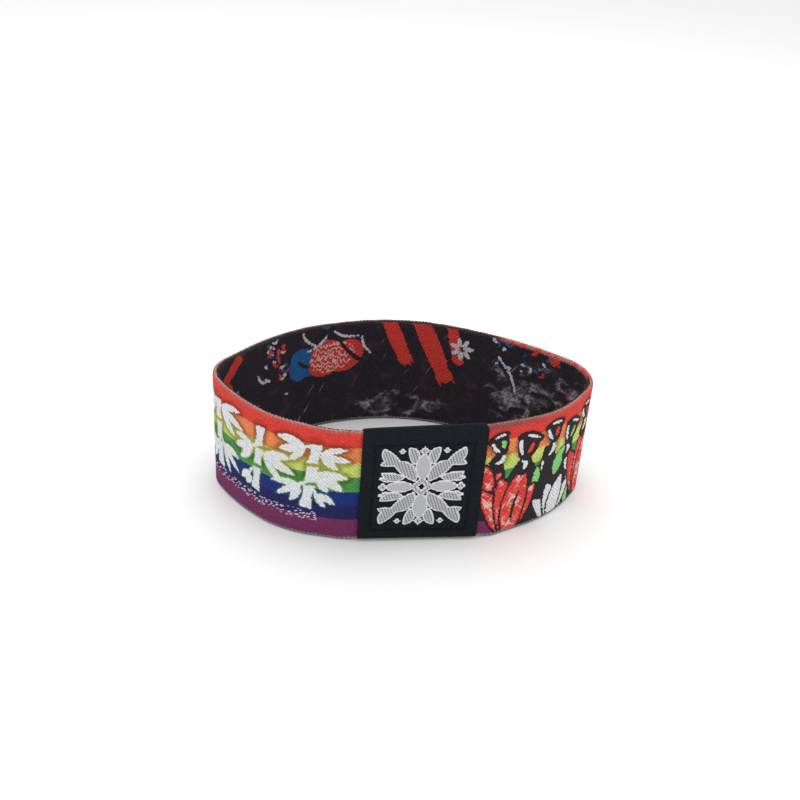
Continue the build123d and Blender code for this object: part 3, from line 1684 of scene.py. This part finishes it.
@dataclass
class ElasticBand:
    """The printed webbing: one strip bent into the loop, its ends meeting behind the label."""

    plan: LoopPlan
    width: float = WEBBING_WIDTH * MM
    thickness: float = 1.2 * MM
    rim_round: float = 0.4 * MM
    butt_gap: float = 0.5 * MM
    outer_rows: int = 84
    inner_rows: int = 62
    columns: tuple[int, int] = (31, 20)
    picot: float = 0.085
    picot_run: float = 0.76
    picot_reach: float = 0.8
    picot_stray: float = 0.12
    picot_slant: float = 0.35
    picot_uneven: float = 0.4
    picot_below: float = 0.8
    edge_wave: float = 0.06
    edge_ripple: float = 0.03
    swell: float = 0.05
    left_pinch: Pinch = Pinch(0.3, 0.3, 4.2)
    right_pinch: Pinch = Pinch(0.4, 0.2, 3.4)
    lean: Lean = Lean()
    piece: Piece | None = field(default=None, init=False)

    def build(self) -> Piece:
        """Models the strip flat, prints it, and bends it round the loop.

        Returns:
            The webbing.
        """
        strip = self._strip()
        flat = vertex_places(strip.data) / MM
        store(strip.data, FLAT_PLACE, flat[:, [0, 2, 1]])
        self._print(strip, flat)
        for face in strip.data.polygons:
            face.material_index = (Part.OUTER if face.center.y <= 1e-6 else Part.INNER).value
        self._relief(strip)
        self._wrap(strip)
        self.piece = strip
        return strip

    def _strip(self) -> Piece:
        """Models the flat strip with rounded rims, cut into a fine grid.

        Returns:
            The strip.
        """
        length = self.plan.length(self.thickness / 2)
        half = self.thickness / 2
        low, high = (self.butt_gap / 2, -half, 0), (length - self.butt_gap / 2, half, self.width)
        strip = add_box(BAND_NODE + "_webbing", low, high)
        pick_edges(strip, lambda a, b: abs(a.x - b.x) > self.width)
        edit(bpy.ops.mesh.bevel, offset=self.rim_round, segments=3, profile=0.5)
        cut_along(strip, 2, self.width / 2, self.outer_rows - 1, lambda middle: middle.y < 0)
        cut_along(strip, 2, self.width / 2, self.inner_rows - 1, lambda middle: middle.y > 0)
        cut_along(strip, 0, self.width, self.columns[0] - 1)
        cut_along(strip, 0, MM, self.columns[1] - 1)
        return strip

    def _print(self, strip: Piece, flat: Array) -> None:
        """Draws the print of both faces.

        Args:
            strip: The flat strip.
            flat: Its vertices' places, in millimetres.
        """
        length = self.plan.length(self.thickness / 2) / MM
        outer = flat[:, 1] <= 0
        # the outer print counts from the label both ways, the inner one on from the label's right side
        s = np.where(outer & (flat[:, 0] > length / 2), flat[:, 0] - length, flat[:, 0])
        places = np.column_stack([s, flat[:, 2]])
        art_out, art_in = Artwork(places[outer]), Artwork(places[~outer])
        OuterPicture().draw(art_out)
        InnerPicture().draw(art_in)
        for ink in PRINT_INKS + PRINT_REGIONS:
            depth = np.empty(len(flat), np.float32)
            depth[outer] = art_out.fields[ink].depth
            depth[~outer] = art_in.fields[ink].depth
            store(strip.data, ink.value, depth)

    def _relief(self, strip: Piece) -> None:
        """Gives the strip its thread loops, its unevenness, and its pinch and lean beside the label.

        Args:
            strip: The flat strip.
        """
        s, y, v = vertex_places(strip.data).T / MM
        length, half_label = self.plan.length(self.thickness / 2) / MM, self.plan.label_width / MM / 2
        wide, middle = WEBBING_WIDTH, WEBBING_WIDTH / 2
        turns = s / self.picot_run + self.picot_stray * soft_noise(s, 10, 7.0) + self.picot_slant * y
        uneven = 1 + self.picot_uneven * soft_noise(s, 15, 3.0)
        loops = self.picot * np.sin(2 * np.pi * turns) * uneven
        wave = self.edge_wave * soft_noise(s, 11, 31.0) + self.edge_ripple * soft_noise(s, 12, 5.0)
        shift = smooth_step(wide - self.picot_reach, wide, v) * (wave + loops)
        shift += smooth_step(self.picot_reach, 0.0, v) * (loops.clip(0, None) * self.picot_below)
        bulge = 1 + self.swell * soft_noise(s, 13, 9.0) * np.sin(np.pi * v / wide)
        for from_label, pinch in (
            (s - half_label, self.right_pinch),
            (length - s - half_label, self.left_pinch),
        ):
            share = smooth_step(pinch.ramp, 0.0, from_label)
            outer = np.abs(v - middle) / middle
            shift += np.where(v > middle, -pinch.top, pinch.bottom) * share * outer**2
        lean = self.lean.inwards(np.where(s > length / 2, s - length, s), v)
        set_places(strip.data, np.column_stack([s, y * bulge + lean, (v + shift).clip(0, None)]) * MM)

    def _wrap(self, strip: Piece) -> None:
        """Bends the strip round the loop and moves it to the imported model's place.

        Args:
            strip: The finished flat strip.
        """
        guide = self.plan.guide(self.thickness / 2)
        apply(strip, "CURVE", object=guide, deform_axis="POS_X")
        remove(guide)
        shift = self.plan.shift()
        set_places(strip.data, vertex_places(strip.data) + np.array([shift.x, shift.y, 0]))
        select(strip)
        bpy.ops.object.shade_smooth()

    def dress(self) -> None:
        """Gives the webbing its materials, in the order of its parts."""
        for finish in (RainbowPrint(), NightPrint()):
            self.piece.data.materials.append(finish.build())


@dataclass(frozen=True)
class OuterPicture:
    """What is printed over the stripes on the outer face: a white grove, and dark leaves with lotus."""

    culms: tuple[Culm, ...] = (
        Culm((-21.8, 7.1), (-19.8, 20.9), 2.2),
        Culm((-32.8, 7.2), (-31.4, 21.2), 2.0),
        Culm((-44.2, 6.9), (-45.0, 21.0), 2.3),
        Culm((-55.8, 7.1), (-54.0, 21.6), 2.2),
        Culm((87.6, 7.0), (86.0, 21.2), 2.2),
    )
    fans: tuple[LeafFan, ...] = (
        LeafFan((-18.9, 19.7), -14.0, 3, 4.9),
        LeafFan((-19.5, 15.0), -34.0, 3, 5.4, width=1.8),
        LeafFan((-19.9, 10.6), -46.0, 2, 4.6),
        LeafFan((-21.9, 20.5), 199.0, 3, 6.3),
        LeafFan((-30.7, 15.9), -19.0, 3, 6.2, width=1.7),
        LeafFan((-23.0, 11.7), 216.0, 3, 5.8),
        LeafFan((-34.3, 10.2), 238.0, 2, 3.8),
        LeafFan((-43.6, 20.4), -15.0, 3, 6.7, width=1.7),
        LeafFan((-33.6, 16.6), 202.0, 3, 6.2),
        LeafFan((-42.9, 12.0), -38.0, 3, 5.8),
        LeafFan((-46.2, 20.6), 203.0, 3, 6.0, width=1.7),
        LeafFan((-53.2, 15.6), -24.0, 3, 5.7),
        LeafFan((-45.8, 11.2), 218.0, 3, 5.2),
        LeafFan((-56.2, 20.7), 197.0, 3, 6.6),
        LeafFan((-56.8, 14.6), 211.0, 3, 6.2, width=1.7),
        LeafFan((-57.2, 9.8), 236.0, 2, 3.8),
        LeafFan((84.8, 20.4), 200.0, 3, 6.2),
        LeafFan((88.2, 15.8), -22.0, 3, 6.0),
        LeafFan((85.6, 11.4), 216.0, 3, 5.6),
    )
    leaves: tuple[Leaf, ...] = (
        Leaf((12.2, 6.0), (14.6, 18.0), (5.0, 5.4, 1.4), -0.6),
        Leaf((20.6, 3.0), (20.8, 15.6), (9.6, 9.0, 2.6)),
        Leaf((24.6, 0.2), (25.8, 17.4), (5.0, 4.6, 1.4), -0.7, light=True),
        Leaf((28.8, 2.0), (27.2, 15.8), (7.0, 6.2, 2.0), 0.4),
        Leaf((34.4, 0.2), (32.8, 16.6), (4.4, 5.2, 1.8), 0.5, light=True),
        Leaf((39.4, 1.6), (39.2, 17.0), (7.6, 6.8, 2.0), 0.3),
        Leaf((44.6, 1.6), (43.8, 16.0), (4.0, 3.6, 1.0), 0.5),
        Leaf((35.0, 0.4), (34.2, 8.0), (1.0, 1.9, 0.6), 0.4, Ink.GREEN),
        Leaf((29.2, 10.6), (31.0, 15.6), (1.4, 2.9, 0.8), 0.3, Ink.GREEN),
        Leaf((23.6, 9.2), (24.0, 13.4), (0.8, 1.7, 0.5), -0.2, Ink.GREEN),
        Leaf((45.0, 3.0), (46.6, 13.0), (1.0, 2.4, 0.5), 0.4, Ink.GREEN),
        Leaf((52.8, 1.0), (51.6, 17.0), (5.0, 5.0, 1.4), 0.6),
        Leaf((61.6, 1.4), (63.6, 16.0), (5.4, 4.6, 1.2), -0.5, light=True),
        Leaf((66.4, 2.0), (68.2, 13.0), (1.0, 2.6, 0.6), -0.4, Ink.GREEN),
        Leaf((-82.6, 1.4), (-86.0, 15.0), (5.0, 4.6, 1.0), 0.6, light=True),
        Leaf((-70.6, 1.0), (-69.4, 16.6), (5.6, 5.0, 1.4), 0.6),
        Leaf((-68.4, 2.0), (-66.6, 12.0), (1.0, 2.4, 0.5), 0.4, Ink.GREEN),
    )
    lotuses: tuple[Lotus, ...] = (
        Lotus((12.6, 9.4), 6.4, ((32, 0.86, 2.6), (-4, 1.0, 3.4))),
        Lotus((18.2, -1.4), 15.0, ((-28, 0.88, 4.2), (26, 0.8, 4.0), (-10, 0.92, 4.9), (10, 1.0, 5.3))),
        Lotus((29.4, -1.2), 9.8, ((-38, 0.84, 3.0), (34, 0.9, 3.2), (-12, 0.94, 3.6), (12, 1.0, 3.8)),
              Ink.WHITE),
        Lotus((39.6, -0.8), 16.2, ((-23, 0.9, 4.4), (20, 0.84, 4.2), (-7, 0.94, 5.2), (8, 1.02, 5.3))),
        Lotus((56.4, -1.0), 15.4, ((-32, 0.84, 4.2), (32, 0.86, 4.2), (-12, 0.96, 5.2), (11, 1.0, 5.2))),
        Lotus((-76.2, -1.0), 15.8, ((-32, 0.84, 4.2), (30, 0.86, 4.2), (-11, 1.0, 5.2), (12, 0.96, 5.2))),
    )
    pods: tuple[Pod, ...] = (
        Pod((14.9, 21.0), 2.2, 112, (14.4, 16.6), Ink.GREEN),
        Pod((21.4, 19.6), 2.7, 78, (20.6, 14.0)),
        Pod((27.4, 21.2), 2.3, 96, (26.6, 15.6)),
        Pod((33.2, 19.2), 2.6, 74, (32.4, 13.8), Ink.GREEN),
        Pod((38.6, 21.2), 2.0, 98, (38.4, 16.4)),
        Pod((43.6, 19.0), 2.0, 76, (43.6, 14.0)),
        Pod((60.2, 20.2), 2.4, 60, (58.4, 14.4)),
        Pod((-69.2, 20.4), 2.4, 110, (-71.6, 14.8)),
    )

    def draw(self, art: Artwork) -> None:
        """Draws the outer face."""
        for motif in self.culms + self.fans + self.leaves + self.lotuses + self.pods:
            motif.draw(art)


@dataclass(frozen=True)
class InnerPicture:
    """What is printed on the black inner face: fallen leaves, slashes, smoke and twigs."""

    smoke: tuple[Oval, ...] = (
        Oval((56.0, 12.0), (16.0, 11.0)),
        Oval((38.0, 12.0), (12.0, 12.0)),
        Oval((90.0, 4.0), (12.0, 5.0)),
        Oval((134.0, 8.0), (10.0, 7.0)),
        Oval((170.0, 12.0), (9.0, 9.0)),
    )
    slashes: tuple[BrushSlash, ...] = (
        BrushSlash((94.0, 26.0), (89.4, 15.6), 3.4, seed=1),
        BrushSlash((86.8, 26.0), (80.2, 12.4), 4.2, seed=2),
        BrushSlash((79.6, 26.0), (77.4, 17.0), 2.6, seed=3),
        BrushSlash((131.0, 23.8), (134.8, 20.2), 2.2, seed=4),
        BrushSlash((135.0, 20.6), (133.8, 17.6), 1.6, seed=5),
        BrushSlash((56.2, 26.0), (55.2, 23.4), 2.4, seed=6),
        BrushSlash((21.0, 20.0), (15.0, 8.0), 3.2, seed=8),
        BrushSlash((166.0, 21.0), (160.0, 9.0), 3.2, seed=9),
    )
    # fine drawn lines: start, end and bend
    twigs: tuple[tuple[Point, Point, float], ...] = (
        ((113.4, 24.0), (110.4, 20.6), 0.5),
        ((112.2, 19.4), (107.6, 22.6), 0.6),
        ((106.0, 23.4), (100.4, 21.8), 0.7),
        ((99.6, 21.6), (97.4, 17.4), 0.6),
        ((125.4, 17.6), (123.6, 15.2), 0.4),
        ((134.0, 14.0), (131.4, 16.6), 0.3),
        ((68.0, 20.0), (63.6, 13.0), -0.8),
        ((57.0, 6.0), (49.0, 9.0), 0.9),
    )
    twig_widths: Triple = (0.45, 0.66, 0.4)
    # short dabs: middle and spread along the cloth, middle up the cloth, and how many
    dabs: tuple[tuple[float, float, float, int], ...] = (
        (121.4, 1.1, 22.0, 16),
        (119.4, 1.8, 18.6, 20),
        (64.0, 5.0, 21.0, 18),
        (47.0, 5.0, 18.0, 14),
        (152.0, 8.0, 14.0, 20),
        (20.0, 6.0, 13.0, 12),
    )
    dab_rise: float = 2.8
    dab_reach: Point = (0.3, 1.7)
    dab_width: Point = (0.5, 0.9)
    # a round fruit with its leaves: ink, middle, radii and turn of each oval
    fruit: tuple[tuple[Ink, Point, Point, float], ...] = (
        (Ink.BLUE, (113.2, 17.6), (3.4, 2.8), 24),
        (Ink.BLUE, (114.4, 15.4), (2.4, 2.6), 0),
        (Ink.BLUE, (111.6, 16.4), (2.6, 3.0), 0),
        (Ink.RED, (107.6, 18.0), (4.0, 3.4), -20),
        (Ink.RED, (103.4, 17.2), (4.6, 3.6), -30),
        (Ink.RED, (108.6, 15.6), (3.4, 3.0), 0),
    )
    fruit_hatch: Oval = Oval((106.4, 17.2), (5.4, 3.6), -12)
    # the lines that part it: start, end and bend
    fruit_lines: tuple[tuple[Point, Point, float], ...] = (
        ((114.6, 17.4), (111.8, 15.6), 0.2),
        ((104.6, 20.8), (98.8, 15.2), 0.5),
        ((103.4, 19.0), (98.4, 14.6), 0.3),
    )
    line_widths: Triple = (0.5, 0.9, 0.5)
    chip: Brush = Brush((108.4, 25.0), (107.2, 24.5), (1.0, 1.2, 0.6))
    flower: Point = (76.8, 20.2)
    flower_petals: int = 7
    petal_step: float = 0.9
    petal_start: float = 0.3
    petal_reach: Point = (0.9, 2.5)
    petal_widths: Triple = (0.7, 1.1, 0.6)

    def draw(self, art: Artwork) -> None:
        """Draws the inner face.

        Args:
            art: The face to draw on.
        """
        for cloud in self.smoke:
            art.fields[Ink.SMOKE].join(cloud)
        for slash in self.slashes:
            slash.draw(art)
        for ink, middle, radii, turn in self.fruit:
            art.paint(ink, Oval(middle, radii, turn))
        art.fields[Ink.HATCH].join(self.fruit_hatch)
        for start, end, bend in self.fruit_lines:
            for ink in (Ink.RED, Ink.BLUE, Ink.HATCH):
                art.carve(ink, Brush(start, end, self.line_widths, bend))
        for start, end, bend in self.twigs:
            art.paint(Ink.WHITE, Brush(start, end, self.twig_widths, bend))
        for number in range(self.flower_petals):
            angle = self.petal_step * number + self.petal_start
            art.paint(Ink.WHITE, outward(self.flower, angle, *self.petal_reach, self.petal_widths))
        art.paint(Ink.BLUE, self.chip)
        rng = np.random.default_rng(21)
        for middle, spread, level, count in self.dabs:
            for _ in range(count):
                s, v = middle + rng.normal(0, spread), level + rng.normal(0, self.dab_rise)
                lean, reach = rng.uniform(0, math.pi), rng.uniform(*self.dab_reach)
                tip = (s + reach * math.cos(lean), v + reach * math.sin(lean))
                ink = (Ink.WHITE, Ink.WHITE, Ink.RED, Ink.BLUE)[int(rng.integers(4))]
                width = rng.uniform(*self.dab_width)
                art.paint(ink, Brush((s, v), tip, (0.4, width, 0.35), rng.uniform(-0.5, 0.5)))


@dataclass
class WovenLabel:
    """The woven tape folded round the webbing as a flat sleeve."""

    plan: LoopPlan
    height: float = 25.4 * MM
    band_thickness: float = 1.2 * MM
    ply: float = 0.55 * MM
    ply_ease: float = 0.08 * MM
    fold_round: float = 0.75 * MM
    corner_round: float = 0.9
    askew_deg: float = 1.0
    lift: float = 0.22 * MM
    rows: int = 196
    back_rows: int = 60
    columns: tuple[int, int] = (18, 9)
    ornament_raise: float = 0.09
    ornament_level: float = 12.45
    ridge_depth: float = 1.6
    ridge_share: float = 0.55
    top_drop: float = 0.3
    bottom_right: float = 0.36
    bottom_left: float = 0.2
    left_drop: float = 0.2
    top_right: float = 0.2
    top_reach: float = 6.0
    bottom_reach: float = 7.0
    side_reach: float = 1.4
    side_round_share: float = 0.45
    side_stray: float = 0.035
    side_run: float = 0.52
    pillow: float = 0.1
    sag: float = 0.05
    lean: Lean = Lean()
    stitch_from_side: float = 2.4
    stitch_from_bottom: float = 2.3
    stitch_from_top: float = 3.7
    stitch_up: float = 2.7
    stitch_along: float = 2.1
    thread_width: float = 0.3
    thread_depth: float = 0.22
    thread_share: float = 0.72
    thread_seat: float = 0.04
    stitch_sink: float = 0.34
    stitch_spread: float = 0.46
    groove_sink: float = 0.12
    groove_width: float = 0.6
    piece: Piece | None = field(default=None, init=False)
    thread: Piece | None = field(default=None, init=False)

    @property
    def half_depth(self) -> float:
        """Half of the thickness over both plies."""
        return self.band_thickness / 2 + self.ply

    @property
    def extent(self) -> Point:
        """Half the label's width and its whole height, in millimetres."""
        return self.plan.label_width / MM / 2, self.height / MM

    def build(self) -> list[Piece]:
        """Models the sleeve and its stitches.

        Returns:
            The sleeve and the thread.
        """
        sleeve = self._sleeve()
        flat = vertex_places(sleeve.data) / MM
        store(sleeve.data, FLAT_PLACE, flat[:, [0, 2, 1]])
        art = Artwork(flat[:, [0, 2]])
        WovenMedallion(self.ornament_level).draw(art)
        for ink in (Ink.SILVER, Ink.FLOATS):
            art.fields[ink].depth[flat[:, 1] > 0] = FAR
            store(sleeve.data, ink.value, art.fields[ink].depth)
        self._relief(sleeve, art.fields[Ink.SILVER].depth)
        self._place(sleeve)
        self.piece = sleeve
        self.thread = self._stitches()
        self._place(self.thread)
        return [self.piece, self.thread]

    def _sleeve(self) -> Piece:
        """Models the flat sleeve with rounded folds, cut into a fine grid.

        Returns:
            The sleeve.
        """
        half_width, half = self.plan.label_width / 2, self.half_depth
        sleeve = add_box(LABEL_NODE + "_tape", (-half_width, -half, 0), (half_width, half, self.height))
        pick_faces(sleeve, lambda normal: abs(normal.x) > 0.9)
        edit(bpy.ops.mesh.delete, type="FACE")
        pick_edges(sleeve, lambda a, b: abs(a.x - b.x) > MM)
        edit(bpy.ops.mesh.bevel, offset=self.fold_round, segments=5, profile=0.5)
        tall = self.height / 2
        cut_along(sleeve, 2, tall, self.rows - 1, lambda middle: middle.y < 0)
        cut_along(sleeve, 2, tall, self.back_rows - 1, lambda middle: middle.y > 0)
        cut_along(sleeve, 0, MM, self.columns[0] - 1)
        cut_along(sleeve, 0, 0.5 * MM, self.columns[1] - 1)
        apply(sleeve, "SOLIDIFY", thickness=self.ply - self.ply_ease, offset=-1)
        return sleeve

    def stitch_ends(self) -> Iterator[tuple[Point, Point]]:
        """Goes round the label stitch by stitch.

        Yields:
            Both ends of each stitch, in millimetres on the flat label.
        """
        half, tall = self.extent
        side, low, high = half - self.stitch_from_side, self.stitch_from_bottom, tall - self.stitch_from_top
        corners = [(-side, low), (side, low), (side, high), (-side, high)]
        steps = [self.stitch_along, self.stitch_up] * 2
        for i, (start, step) in enumerate(zip(corners, steps)):
            a, b = Vector(start), Vector(corners[(i + 1) % 4])
            count = max(1, round((b - a).length / step))
            for number in range(count):
                first, last = a.lerp(b, number / count), a.lerp(b, (number + 1) / count)
                yield (first.x, first.y), (last.x, last.y)

    def _relief(self, sleeve: Piece, silver: Array) -> None:
        """Raises the ornament, sinks the stitching and rounds the corners.

        Args:
            sleeve: The flat sleeve.
            silver: The depth of each vertex inside the ornament, in millimetres.
        """
        half, tall = self.extent
        x, y, z = vertex_places(sleeve.data).T / MM
        skin = np.abs(y) > (self.half_depth - 0.2 * MM) / MM
        sink = np.zeros(len(x))
        for start, end in self.stitch_ends():
            off = np.hypot(x - start[0], z - start[1])
            sink = np.maximum(sink, self.stitch_sink * np.exp(-((off / self.stitch_spread) ** 2)))
            groove = Brush(start, end, (self.groove_width,) * 3).depth(x, z)
            sink = np.maximum(sink, self.groove_sink * smooth_step(-0.5, 0.2, groove))
        raised = np.where(y < 0, smooth_step(-0.06, 0.1, silver) * self.ornament_raise, 0)
        rise = np.sin(np.pi * z / tall).clip(0)
        pillow = self.pillow * np.cos(np.pi * x / (2 * half)).clip(0) * rise
        sag = self.sag * soft_noise(x + 3 * z, 31, 9.0) * rise
        y = y + np.sign(y) * np.where(skin, raised + pillow + sag - sink, 0)
        # the open side's corners are rounded, and its edge is a little uneven
        near = (self.corner_round - np.minimum(z, tall - z)).clip(0, self.corner_round)
        inset = self.corner_round - np.sqrt(self.corner_round**2 - near**2)
        inset = inset * np.where(x > 0, 1.0, self.side_round_share)
        inset = inset + self.side_stray * np.sin(2 * np.pi * z / self.side_run)
        x = x - np.sign(x) * inset * smooth_step(half - self.side_reach, half, np.abs(x))
        set_places(sleeve.data, self._lie(x, y, z) * MM)

    def _lie(self, x: Array, y: Array, z: Array) -> Array:
        """Where places of the even flat label lie on the real one, in millimetres.

        Args:
            x: Places across the label, from its middle.
            y: Places through the label.
            z: Places up the label.

        Returns:
            The new places, one row each.
        """
        half, tall = self.extent
        # the top fold narrows to a ridge, and the whole label leans with the webbing
        y = y * (1 - self.ridge_share * smooth_step(tall - self.ridge_depth, tall, z))
        y = y + self.lean.inwards(x, z)
        drop = self.top_drop + self.left_drop * (1 - x / half)
        z = z - drop * smooth_step(tall - self.top_reach, tall, z)
        z = z + self.bottom_right * (0.5 + x / (2 * half)) * smooth_step(self.bottom_reach, 0, z)
        x = x + self.top_right * (x / half).clip(0, 1) * z / tall
        x = x + self.bottom_left * (-x / half).clip(0, 1) * (1 - z / tall)
        return np.column_stack([x, y, z])

    def _place(self, thing: Piece) -> None:
        """Moves a flat piece to the label's place on the loop, a little askew.

        Args:
            thing: The piece.
        """
        spot = (self.plan.label_middle(self.band_thickness / 2) + self.plan.shift()).to_3d()
        middle = Vector((0, 0, self.height / 2))
        askew = Matrix.Translation(middle + Vector((0, 0, self.lift)))
        askew @= Matrix.Rotation(math.radians(self.askew_deg), 4, "Y") @ Matrix.Translation(-middle)
        turn = Matrix.Rotation(math.radians(self.plan.label_turn_deg), 4, "Z")
        thing.data.transform(Matrix.Translation(spot) @ turn @ askew)
        select(thing)
        bpy.ops.object.shade_smooth_by_angle(angle=math.radians(50))

    def _stitches(self) -> Piece:
        """Models the stitches round the label, on both of its faces.

        Returns:
            All stitches as one object.
        """
        stitches = []
        for start, end in self.stitch_ends():
            for side in (-1, 1):
                select()
                bpy.ops.mesh.primitive_uv_sphere_add(segments=8, ring_count=6, radius=0.5)
                stitch = bpy.context.object
                along = Vector(end) - Vector(start)
                middle = (Vector(start) + Vector(end)) / 2
                reach = self.thread_share * along.length
                shape = Matrix.Diagonal((reach, self.thread_depth, self.thread_width, 1.0))
                turn = Matrix.Rotation(-math.atan2(along.y, along.x), 4, "Y")
                deep = side * (self.half_depth / MM - self.thread_seat)
                move = Matrix.Translation((middle.x, deep, middle.y))
                stitch.data.transform(Matrix.Scale(MM, 4) @ move @ turn @ shape)
                stitches.append(stitch)
        select(*stitches)
        bpy.ops.object.join()
        thread = bpy.context.object
        thread.name = thread.data.name = "label_stitching"
        set_places(thread.data, self._lie(*vertex_places(thread.data).T / MM) * MM)
        return thread

    def dress(self) -> None:
        """Gives the tape and its thread their materials."""
        self.thread.data.materials.clear()
        self.piece.data.materials.append(LabelTape().build())
        self.thread.data.materials.append(PlainThread().build())


@dataclass(frozen=True)
class WovenMedallion:
    """Pointed leaves round a lozenge, mirrored both ways."""

    middle: float
    # lozenges of one quarter: centre and half size
    lozenges: ClassVar[tuple[Triple, ...]] = (
        (0.0, 0.0, 1.6), (0.0, 7.9, 0.7), (7.5, 0.0, 0.7), (4.2, 7.9, 0.5), (2.45, 3.9, 0.42),
    )
    # leaves of one quarter: both ends, widths, bend, and whether its floats run plain
    leaves: ClassVar[tuple[tuple[Point, Point, Triple, float, bool], ...]] = (
        ((0.0, 2.2), (0.0, 7.0), (1.4, 3.0, 0.5), 0.0, True),
        ((2.3, 0.0), (6.8, 0.0), (1.4, 2.5, 0.5), 0.0, True),
        ((1.5, 1.6), (5.3, 5.2), (0.8, 2.9, 0.9), 0.55, False),
        ((4.6, 5.2), (7.6, 8.5), (0.9, 2.4, 0.3), -0.6, False),
        ((1.8, 5.2), (2.9, 8.6), (0.6, 2.1, 0.3), 0.5, False),
        ((3.7, 2.2), (7.8, 3.1), (0.7, 2.0, 0.3), -0.5, False),
        ((5.5, 5.1), (8.1, 4.9), (0.7, 1.4, 0.3), 0.35, False),
        ((6.6, 1.2), (8.2, 1.9), (0.4, 0.9, 0.3), 0.2, False),
    )

    def draw(self, art: Artwork) -> None:
        """Draws the medallion about the label's middle.

        Args:
            art: The label to draw on.
        """
        silver, floats = art.fields[Ink.SILVER], art.fields[Ink.FLOATS]
        for across, up in product((-1, 1), repeat=2):
            for x, y, half in self.lozenges:
                silver.join(Lozenge((across * x, self.middle + up * y), half))
            for (x0, y0), (x1, y1), widths, bend, plain in self.leaves:
                start, end = (across * x0, self.middle + up * y0), (across * x1, self.middle + up * y1)
                leaf = Brush(start, end, widths, across * up * bend)
                silver.join(leaf)
                if plain:
                    floats.join(leaf, -0.3)
        silver.carve(Lozenge((0.0, self.middle), 0.5))


@dataclass(frozen=True)
class Studio:
    """Pale floor, even soft light and the camera at the photo's angle."""

    eye: Triple = (-3.545 * MM, -185.34 * MM, 127.867 * MM)
    pitch_deg: float = 30.533
    yaw_deg: float = -0.863
    roll_deg: float = 3.974
    lens_px: float = 1058.5
    frame_px: float = 800.0
    sensor_mm: float = 36.0
    floor_size: float = 4.0
    sky: float = 0.92
    key: float = 1.15
    key_size: float = 0.5
    key_place: Triple = (0.0, 0.1, 0.45)

    def build(self) -> None:
        """Builds floor, lights, sky and camera."""
        select()
        bpy.ops.mesh.primitive_plane_add(size=self.floor_size, location=(0, 0, -0.02 * MM))
        floor = bpy.context.object
        floor.name = "floor"
        floor.data.materials.append(PaleFloor().build())
        world = bpy.data.worlds.new("studio_sky")
        world.use_nodes = True
        sky = world.node_tree.nodes["Background"].inputs
        sky["Color"].default_value = (1.0, 1.0, 1.0, 1.0)
        sky["Strength"].default_value = self.sky
        bpy.context.scene.world = world
        lamp = bpy.data.lights.new("overhead", "AREA")
        lamp.energy, lamp.size = self.key, self.key_size
        overhead = link(bpy.data.objects.new("overhead", lamp))
        overhead.location = self.key_place
        overhead.rotation_euler = Vector(self.key_place).to_track_quat("Z", "Y").to_euler()
        lens = bpy.data.cameras.new("camera")
        lens.sensor_width = self.sensor_mm
        lens.lens = self.lens_px / self.frame_px * self.sensor_mm
        lens.clip_start = 0.01
        camera = link(bpy.data.objects.new("camera", lens))
        aim = Euler((math.radians(90 - self.pitch_deg), 0, math.radians(self.yaw_deg)))
        tilt = aim.to_matrix().to_4x4()
        roll = Matrix.Rotation(math.radians(self.roll_deg), 4, "Z")
        camera.matrix_world = Matrix.Translation(self.eye) @ tilt @ roll
        bpy.context.scene.camera = camera
        bpy.context.scene.view_settings.view_transform = "Standard"


def main() -> None:
    """Builds and dresses every piece in order."""
    logging.basicConfig(level=logging.INFO, format="%(name)s: %(message)s")
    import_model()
    Studio().build()
    plan = LoopPlan()
    for weave in (TwillWeave(), WornEdge(), DryStreaks(), DamaskWeave()):
        weave.build()

    band = ElasticBand(plan)
    webbing = band.build()
    band.dress()
    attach(webbing, "root")
    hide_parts(BAND_NODE)
    LOG.info("webbing: %d faces", len(webbing.data.polygons))

    label = WovenLabel(plan)
    tape, thread = label.build()
    label.dress()
    for piece in (tape, thread):
        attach(piece, "root")
        LOG.info("%s: %d faces", piece.name, len(piece.data.polygons))
    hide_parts(LABEL_NODE)
    around = plan.length(band.thickness / 2)


if __name__ == "__main__":
    main()
